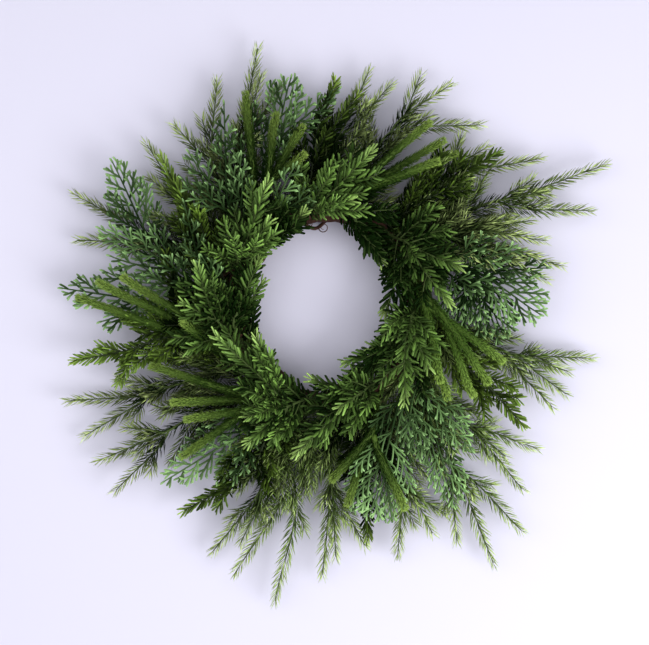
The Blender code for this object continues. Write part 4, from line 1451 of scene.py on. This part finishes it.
@dataclass(frozen=True)
class BarkFinish:
    """Bark: its two colours, how fine its furrows are and how deep.

    Attributes:
        name: the material's name.
        dark: the furrows.
        light: the ridges.
        scale: the furrows per metre.
        bump: the furrows' depth.
        roughness: how rough it is.
    """

    name: str
    dark: Colour
    light: Colour
    scale: float = 500
    bump: float = 0.0003
    roughness: float = 0.7
    GLOSS = 0.3
    DETAIL = 5.0
    FINE = 0.65
    STRENGTH = 0.8

    def build(self) -> bpy.types.Material:
        """Makes the material, of which the light colour stands out in ridges."""
        material, shader = shaded(self.name, self.roughness, self.GLOSS)
        tree = material.node_tree
        place = add_node(tree, "ShaderNodeTexCoord", {}, "Object")
        inputs = {"Vector": place, "Scale": self.scale, "Detail": self.DETAIL, "Roughness": self.FINE}
        noise = add_node(tree, "ShaderNodeTexNoise", inputs, "Fac")
        inputs = {0: noise, 6: (*self.dark, 1), 7: (*self.light, 1)}
        colour = add_node(tree, "ShaderNodeMix", inputs, 2, data_type="RGBA")
        inputs = {"Height": noise, "Distance": self.bump, "Strength": self.STRENGTH}
        bump = add_node(tree, "ShaderNodeBump", inputs)
        tree.links.new(colour, shader.inputs["Base Color"])
        tree.links.new(bump, shader.inputs["Normal"])
        return material


# Each lift paints shade at the roots of the leaves, most strongly inside the foxtail's ropes.
LEAF_FINISHES = {
    Greenery.SPRUCE: LeafFinish(
        "spruce needles", deep=(0.006, 0.016, 0.003), fresh=(0.165, 0.268, 0.06), tip=(0.66, 0.8, 0.34),
        tip_from=0.25, rim=0, lift=0.5, patch=0.5, vary=1, roughness=0.45,
    ),
    Greenery.LOW_FIR: LeafFinish(
        "low fir needles", deep=(0.004, 0.011, 0.002), fresh=(0.174, 0.285, 0.0406),
        tip=(0.298, 0.434, 0.0798), tip_from=0.8, rim=0.25, lift=0.5, patch=0.4, vary=1, roughness=0.38,
    ),
    Greenery.FIR: LeafFinish(
        "fir needles", deep=(0.006, 0.018, 0.003), fresh=(0.225, 0.385, 0.09), tip=(0.335, 0.465, 0.155),
        tip_from=0.7, rim=0.4, lift=0.5, patch=0.5, vary=1, roughness=0.36,
    ),
    Greenery.CYPRESS: LeafFinish(
        "cypress scales", deep=(0.008, 0.022, 0.005), fresh=(0.19, 0.335, 0.12), tip=(0.31, 0.49, 0.215),
        tip_from=0.7, rim=0, lift=0, patch=0.5, vary=0.8, roughness=0.5,
    ),
    Greenery.FOXTAIL: LeafFinish(
        "foxtail needles", deep=(0.009, 0.028, 0.003), fresh=(0.19, 0.36, 0.05), tip=(0.5, 0.68, 0.17),
        tip_from=0.5, rim=0, lift=0.9, patch=0.3, vary=0.2, roughness=0.5,
    ),
}
STEM_FINISHES = {
    Greenery.SPRUCE: BarkFinish("spruce stems", (0.023, 0.046, 0.012), (0.127, 0.184, 0.054)),
    Greenery.LOW_FIR: BarkFinish("low fir stems", (0.0115, 0.023, 0.0069), (0.0403, 0.0575, 0.0216)),
    Greenery.FIR: BarkFinish("fir stems", (0.023, 0.046, 0.012), (0.0862, 0.127, 0.0312)),
    Greenery.FOXTAIL: BarkFinish("foxtail stems", (0.023, 0.046, 0.006), (0.092, 0.161, 0.018)),
}
VINE_FINISH = BarkFinish("vine bark", (0.022, 0.009, 0.006), (0.11, 0.05, 0.032), scale=420, bump=0.0012)
SLOTS = {
    Greenery.SPRUCE: "spruce_green",
    Greenery.LOW_FIR: "dark_fir_green",
    Greenery.FIR: "fir_green",
    Greenery.CYPRESS: "cypress_green",
    Greenery.FOXTAIL: "foxtail_green",
}


@dataclass
class Foliage:
    """The sprays: grows a visual piece for each pick of the part.

    A pair of numbers is the least and the most of a random draw.

    Attributes:
        stem_step: the most that two points of a cypress stem are apart.
        stem_neck: the radius of that stem at its fork, as a share of the part's.
        stem_shade: how light it is.
        most_bare: the most of a frond's length that is bare.
        filler_width: the width in millimetres of a frond that the part leaves out.
        filler_dark: how much darker such a frond is.
        side_places: (share of the stem, side) of the small fronds on a cypress stem.
        side_width: the width of a small frond.
        side_bare: the bare length of its rib.
        side_aside: how far it stands out to its side.
        side_rise: how far it climbs.
        side_onward: how far it turns back along the stem.
        side_length: its length in millimetres.
        side_steps: the steps of its rib.
        pieces: the pieces grown so far.
    """

    stem_step: float = 3 * MM
    stem_neck: float = 0.8
    stem_shade: float = 0.3
    most_bare: float = 0.45
    filler_width: float = 52
    filler_dark: float = 0.35
    side_places: tuple[tuple[float, int], ...] = ((0.5, 1), (0.66, -1), (0.85, 1), (0.95, -1))
    side_width: float = 28 * MM
    side_bare: float = 4 * MM
    side_aside: tuple[float, float] = (0.6, 0.9)
    side_rise: tuple[float, float] = (-0.15, 0.2)
    side_onward: float = 0.3
    side_length: tuple[float, float] = (40, 56)
    side_steps: int = 12
    pieces: list = field(default_factory=list)

    def prepare(self) -> None:
        """Builds the trees, the needles and the finishes."""
        self.needles = NeedleGrowth()
        self.branchlets = BranchletGrowth()
        tone = LeafTone()
        self.leaf_finishes = {kind: finish.build(tone) for kind, finish in LEAF_FINISHES.items()}
        self.stem_finishes = {kind: finish.build() for kind, finish in STEM_FINISHES.items()}
        self.shapes = {kind: shape.build() for kind, shape in NEEDLE_SHAPES.items()}

    def grow_needled(self, placed: PlacedPick, seat: VineSeat, seed: int) -> bpy.types.Object:
        """Grows a pick with needles.

        Args:
            placed: the pick.
            seat: the ring.
            seed: a number of the pick's own.

        Returns:
            Its piece.
        """
        kind = placed.kind
        leafage = LEAFAGES[kind]
        lines = line_object(f"{placed.name}_foliage", ShootPlanner(placed, seat).plan())
        return self.needles.grow(lines, {
            "Needle": self.shapes[kind],
            "Needle finish": self.leaf_finishes[kind],
            "Stem finish": self.stem_finishes[kind],
            "Spacing": leafage.spacing,
            "Lean at root": math.radians(leafage.lean_root),
            "Lean at tip": math.radians(leafage.lean_tip),
            "Flatness": leafage.flat,
            "Hook": leafage.hook * NEEDLE_SHAPES[kind].length,
            "Faced": leafage.faced,
            "Seed": seed,
        })

    def grow_cypress(self, placed: PlacedPick, seat: VineSeat) -> bpy.types.Object:
        """Grows a pick of fronds.

        Args:
            placed: the pick.
            seat: the ring.

        Returns:
            Its piece.
        """
        draw = random.Random(placed.name)
        places, points = placed.axis.stretch(0, placed.axis.length, self.stem_step)
        neck = placed.habit.root * self.stem_neck
        thick = FOOT_RADIUS + (neck - FOOT_RADIUS) * places / placed.axis.length
        none, full = np.zeros(len(places)), np.ones(len(places))
        shoots = [Shoot(points, thick, none, none, full, self.stem_shade)]
        tone = placed.pick.tone
        fronds = [(width, track, tone) for width, track in zip(placed.pick.widths, placed.branches)]
        fronds += [(self.filler_width, track, tone - self.filler_dark) for track in placed.fillers]
        for width, track, light in fronds:
            bare = min(placed.habit.bare, self.most_bare * track.length)
            shoots += FrondGrower(track, width * MM, bare, light, draw).plan()
        for share, side_sign in self.side_places:
            start = placed.foot_length + (placed.stem_length - placed.foot_length) * share
            heading, side, up = placed.axis.frame(start)
            out = heading + side * side_sign * draw.uniform(*self.side_aside)
            out = (out + up * draw.uniform(*self.side_rise)).normalized()
            root = placed.axis.at(start)
            end = root + (out + heading * self.side_onward) * draw.uniform(*self.side_length) * MM
            line = bent(root, end, out, out + heading, self.side_steps)
            if seat.clear(np.array(line)):
                shoots += FrondGrower(Track(line), self.side_width, self.side_bare, tone, draw).plan()
        lines = line_object(f"{placed.name}_foliage", shoots)
        return self.branchlets.grow(lines, {"Finish": self.leaf_finishes[Greenery.CYPRESS]})

    def grow_all(self, frame: dict, seat: VineSeat) -> None:
        """Grows every pick and hands each piece to the frame.

        Args:
            seat: the ring.
        """
        self.prepare()
        finder = PickFinder(frame, seat)
        picks = [(kind, pick) for kind, row in PICKS.items() for pick in row]
        for seed, (kind, pick) in enumerate(picks, 1):
            placed = finder.find(kind, pick)
            if kind is Greenery.CYPRESS:
                piece = self.grow_cypress(placed, seat)
            else:
                piece = self.grow_needled(placed, seat, seed)
            hand_over(piece, placed.name, SLOTS[kind])
            self.pieces.append(piece)
        for shape in self.shapes.values():
            bpy.data.objects.remove(shape)


def hand_over(piece: bpy.types.Object, node: str, slot: str) -> None:
    """Lets a piece ride on the wreath in place of a node, and hides that node.

    Args:
        piece: the piece.
        node: the node that it stands for.
        slot: the record's slot; not used.
    """
    triangles = sum(len(face.vertices) - 2 for face in piece.data.polygons)
    LOG.info("%s: %d triangles", piece.name, triangles)
    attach(piece, "root")
    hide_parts(node)


@dataclass
class VineRing:
    """The ring of twisted vines, the vine wound round it, and the tendrils.

    A pair of numbers is the least and the most of a random draw.

    Attributes:
        strands: how many vines are twisted into the core.
        strand_radius: the radius of each.
        strand_turns: how often they twist round the ring.
        strand_steps: the steps of each.
        sway: how far a vine sways from its place, as a share of its distance from the core's middle.
        sways: how often it does so round the ring.
        sway_shift: how far the sway of each vine is ahead of the last, in degrees.
        wrap_lane: the lane of the wrapping vine at bearing 0, in degrees.
        wrap_turns: its turns round the core.
        wrap_distance: how far its middle is from the core's.
        wrap_radius: its own radius.
        wrap_steps: its steps.
        curls: the bearings at which tendrils leave it.
        curl_seed: the seed of their random draws.
        curl_lane: the lane in which they leave it.
        curl_spread: how far they leave from that lane.
        curl_size: the size of their curls in millimetres.
        curl_rise: how steeply they rise from their root.
        curl_drop: how much less steeply they end.
        curl_open: how wide they start, as a share of that size.
        curl_close: how much narrower they end.
        curl_step: the steps in a stretch of that size.
        curl_ways: the ways in which they may wind.
        curl_turns: how often they wind.
        curl_steps: the steps of each.
        curl_radius: their radius at the root.
        curl_taper: how much thinner they are at the end.
    """

    strands: int = 5
    strand_radius: float = 4.3 * MM
    strand_turns: int = 6
    strand_steps: int = 220
    sway: float = 0.06
    sways: int = 5
    sway_shift: float = 70
    wrap_lane: float = -110
    wrap_turns: int = 8
    wrap_distance: float = 15.9 * MM
    wrap_radius: float = 2.0 * MM
    wrap_steps: int = 420
    curls: tuple[float, ...] = (96, 104, 150, 163, 248, 20, 320)
    curl_seed: int = 5
    curl_lane: float = 150
    curl_spread: tuple[float, float] = (-30, 30)
    curl_size: tuple[float, float] = (3.5, 7)
    curl_rise: float = 0.35
    curl_drop: float = 0.5
    curl_open: float = 1.1
    curl_close: float = 0.7
    curl_step: int = 6
    curl_ways: tuple[int, ...] = (1, 1)
    curl_turns: float = 1.3
    curl_steps: int = 40
    curl_radius: float = 0.55 * MM
    curl_taper: float = 0.6

    def build(self, seat: VineSeat, finish: bpy.types.Material) -> None:
        """Builds both pieces and hands them over.

        Args:
            seat: the ring.
            finish: the bark.
        """
        core = self.tubes("vine_core_bark", self.core_vines(seat), finish)
        wrap = self.tubes("vine_wrap_bark", (self.wrap_vine(seat), *self.tendrils(seat)), finish)
        for piece, node in ((core, "vine_core"), (wrap, "vine_wrap")):
            hand_over(piece, node, "vine_brown")

    def core_vines(self, seat: VineSeat) -> Iterator[Vine]:
        """The vines of the core."""
        distance = CORE_RADIUS - self.strand_radius
        for strand in range(self.strands):
            lane = 360 * strand / self.strands
            points = []
            for i in range(self.strand_steps):
                bearing = 360 * i / self.strand_steps
                sway = 1 + self.sway * math.sin(math.radians(bearing * self.sways + strand * self.sway_shift))
                points.append(seat.round_core(bearing, lane + self.strand_turns * bearing, distance * sway))
            yield points, self.strand_radius, True

    def wrap_vine(self, seat: VineSeat) -> Vine:
        """The wrapping vine."""
        points = []
        for i in range(self.wrap_steps):
            bearing = 360 * i / self.wrap_steps
            lane = self.wrap_lane - self.wrap_turns * bearing
            points.append(seat.round_core(bearing, lane, self.wrap_distance))
        return points, self.wrap_radius, True

    def tendrils(self, seat: VineSeat) -> Iterator[Vine]:
        """The thin curls that leave the wrapping vine."""
        draw = random.Random(self.curl_seed)
        for bearing in self.curls:
            lane = self.curl_lane + draw.uniform(*self.curl_spread)
            here = seat.round_core(bearing, lane, self.wrap_distance)
            heading = draw.uniform(0, math.tau)
            size = draw.uniform(*self.curl_size) * MM
            points = []
            for i in range(self.curl_steps):
                share = i / (self.curl_steps - 1)
                turn = heading + share * draw.choice(self.curl_ways) * math.tau * self.curl_turns
                ahead = Vector((math.cos(turn), math.sin(turn), self.curl_rise - self.curl_drop * share))
                wide = self.curl_open - self.curl_close * share
                here = here + ahead * size * wide / self.curl_step
                points.append(here.copy())
            yield points, self.curl_radius, False

    def tubes(self, name: str, vines: Iterable[Vine], finish: bpy.types.Material) -> bpy.types.Object:
        """Round tubes along vines, as one object.

        Args:
            name: its name.
            vines: the vines.
            finish: its material.

        Returns:
            The object.
        """
        curve = bpy.data.curves.new(name, "CURVE")
        curve.dimensions = "3D"
        curve.bevel_depth = 1.0
        curve.bevel_resolution = 2
        curve.use_fill_caps = True
        for points, radius, closed in vines:
            spline = curve.splines.new("POLY")
            spline.points.add(len(points) - 1)
            for i, point in enumerate(points):
                spline.points[i].co = (*point, 1)
                spline.points[i].radius = radius * (1 if closed else 1 - self.curl_taper * i / len(points))
            spline.use_cyclic_u = closed
        source = linked(name, curve)
        bpy.context.view_layer.update()
        mesh = bpy.data.meshes.new_from_object(source.evaluated_get(bpy.context.evaluated_depsgraph_get()))
        bpy.data.objects.remove(source)
        for vertex in mesh.vertices:
            vertex.co.z = max(vertex.co.z, 0)
        for face in mesh.polygons:
            face.use_smooth = True
        mesh.materials.clear()
        mesh.materials.append(finish)
        return linked(name, mesh)


@dataclass(frozen=True)
class Lamp:
    """A square soft lamp that shines on the middle of the wreath.

    Attributes:
        name: its name.
        place: where it hangs.
        size: the length of its sides.
        power: its power in watts.
        colour: its colour.
    """

    name: str
    place: tuple[float, float, float]
    size: float
    power: float
    colour: Colour = (1.0, 0.985, 0.97)

    def build(self) -> None:
        """Hangs the lamp."""
        data = bpy.data.lights.new(self.name, "AREA")
        data.size = self.size
        data.energy = self.power
        data.color = self.colour
        lamp = linked(self.name, data)
        lamp.location = self.place
        lamp.visible_camera = False
        lamp.rotation_euler = (-Vector(self.place)).to_track_quat("-Z", "Y").to_euler()


@dataclass(frozen=True)
class Studio:
    """The pale floor, the soft light and the camera over the wreath.

    Attributes:
        aim: the point of the floor under the camera.
        height: the camera's height.
        width: the width of the floor in view.
        sensor: the width of the camera's sensor in millimetres.
        floor_half: half the side of the floor.
        floor_drop: how far the floor is below the wreath.
        floor_colour: its colour.
        floor_roughness: how rough it is.
        floor_gloss: how strongly it mirrors.
        lamps: the lamps, overhead, at the lower right and at the left.
        sky: the strength of the white sky.
        gamma: the gamma of the view.
    """

    aim: tuple[float, float] = (-0.0117, 0.0025)
    height: float = 1.9
    width: float = 0.709
    sensor: float = 36
    floor_half: float = 3.0
    floor_drop: float = 0.0003
    floor_colour: Colour = (0.56, 0.557, 0.662)
    floor_roughness: float = 0.9
    floor_gloss: float = 0.1
    lamps: tuple[Lamp, ...] = (
        Lamp("overhead", (0, 0, 2.3), size=3.0, power=41),
        Lamp("key", (1.34, -0.8, 1.28), size=1.2, power=39),
        Lamp("fill", (-1.4, 0.1, 1.3), size=1.5, power=12),
    )
    sky: float = 0.4
    gamma: float = 0.86

    def build(self) -> None:
        """Sets up the floor, the light and the camera."""
        self.build_floor()
        self.build_light()
        data = bpy.data.cameras.new("camera")
        data.sensor_width = self.sensor
        data.lens = data.sensor_width * self.height / self.width
        camera = linked("camera", data)
        camera.location = (*self.aim, self.height)
        bpy.context.scene.camera = camera

    def build_floor(self) -> None:
        """A plain floor under the wreath."""
        mesh = bpy.data.meshes.new("floor")
        half = self.floor_half
        corners = ((-half, -half), (half, -half), (half, half), (-half, half))
        mesh.from_pydata([(x, y, -self.floor_drop) for x, y in corners], [], [(0, 1, 2, 3)])
        material, shader = shaded("floor", self.floor_roughness, self.floor_gloss)
        shader.inputs["Base Color"].default_value = (*self.floor_colour, 1)
        mesh.materials.append(material)
        linked("floor", mesh)

    def build_light(self) -> None:
        """The lamps, a pale sky and the view's gamma."""
        world = bpy.data.worlds.new("studio")
        bpy.context.scene.world = world
        world.use_nodes = True
        sky = world.node_tree.nodes["Background"]
        sky.inputs["Color"].default_value = (1.0, 1.0, 1.0, 1)
        sky.inputs["Strength"].default_value = self.sky
        for lamp in self.lamps:
            lamp.build()
        view = bpy.context.scene.view_settings
        view.view_transform = "Standard"
        view.gamma = self.gamma


def main() -> None:
    """Dresses the wreath and sets up the studio."""
    logging.basicConfig(level=logging.INFO, format="%(message)s")
    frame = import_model()
    seat = VineSeat(frame["nodes"]["vine_core"])
    VineRing().build(seat, VINE_FINISH.build())
    foliage = Foliage()
    foliage.grow_all(frame, seat)
    Studio().build()
    LOG.info("%d sprays", len(foliage.pieces))


if __name__ == "__main__":
    main()
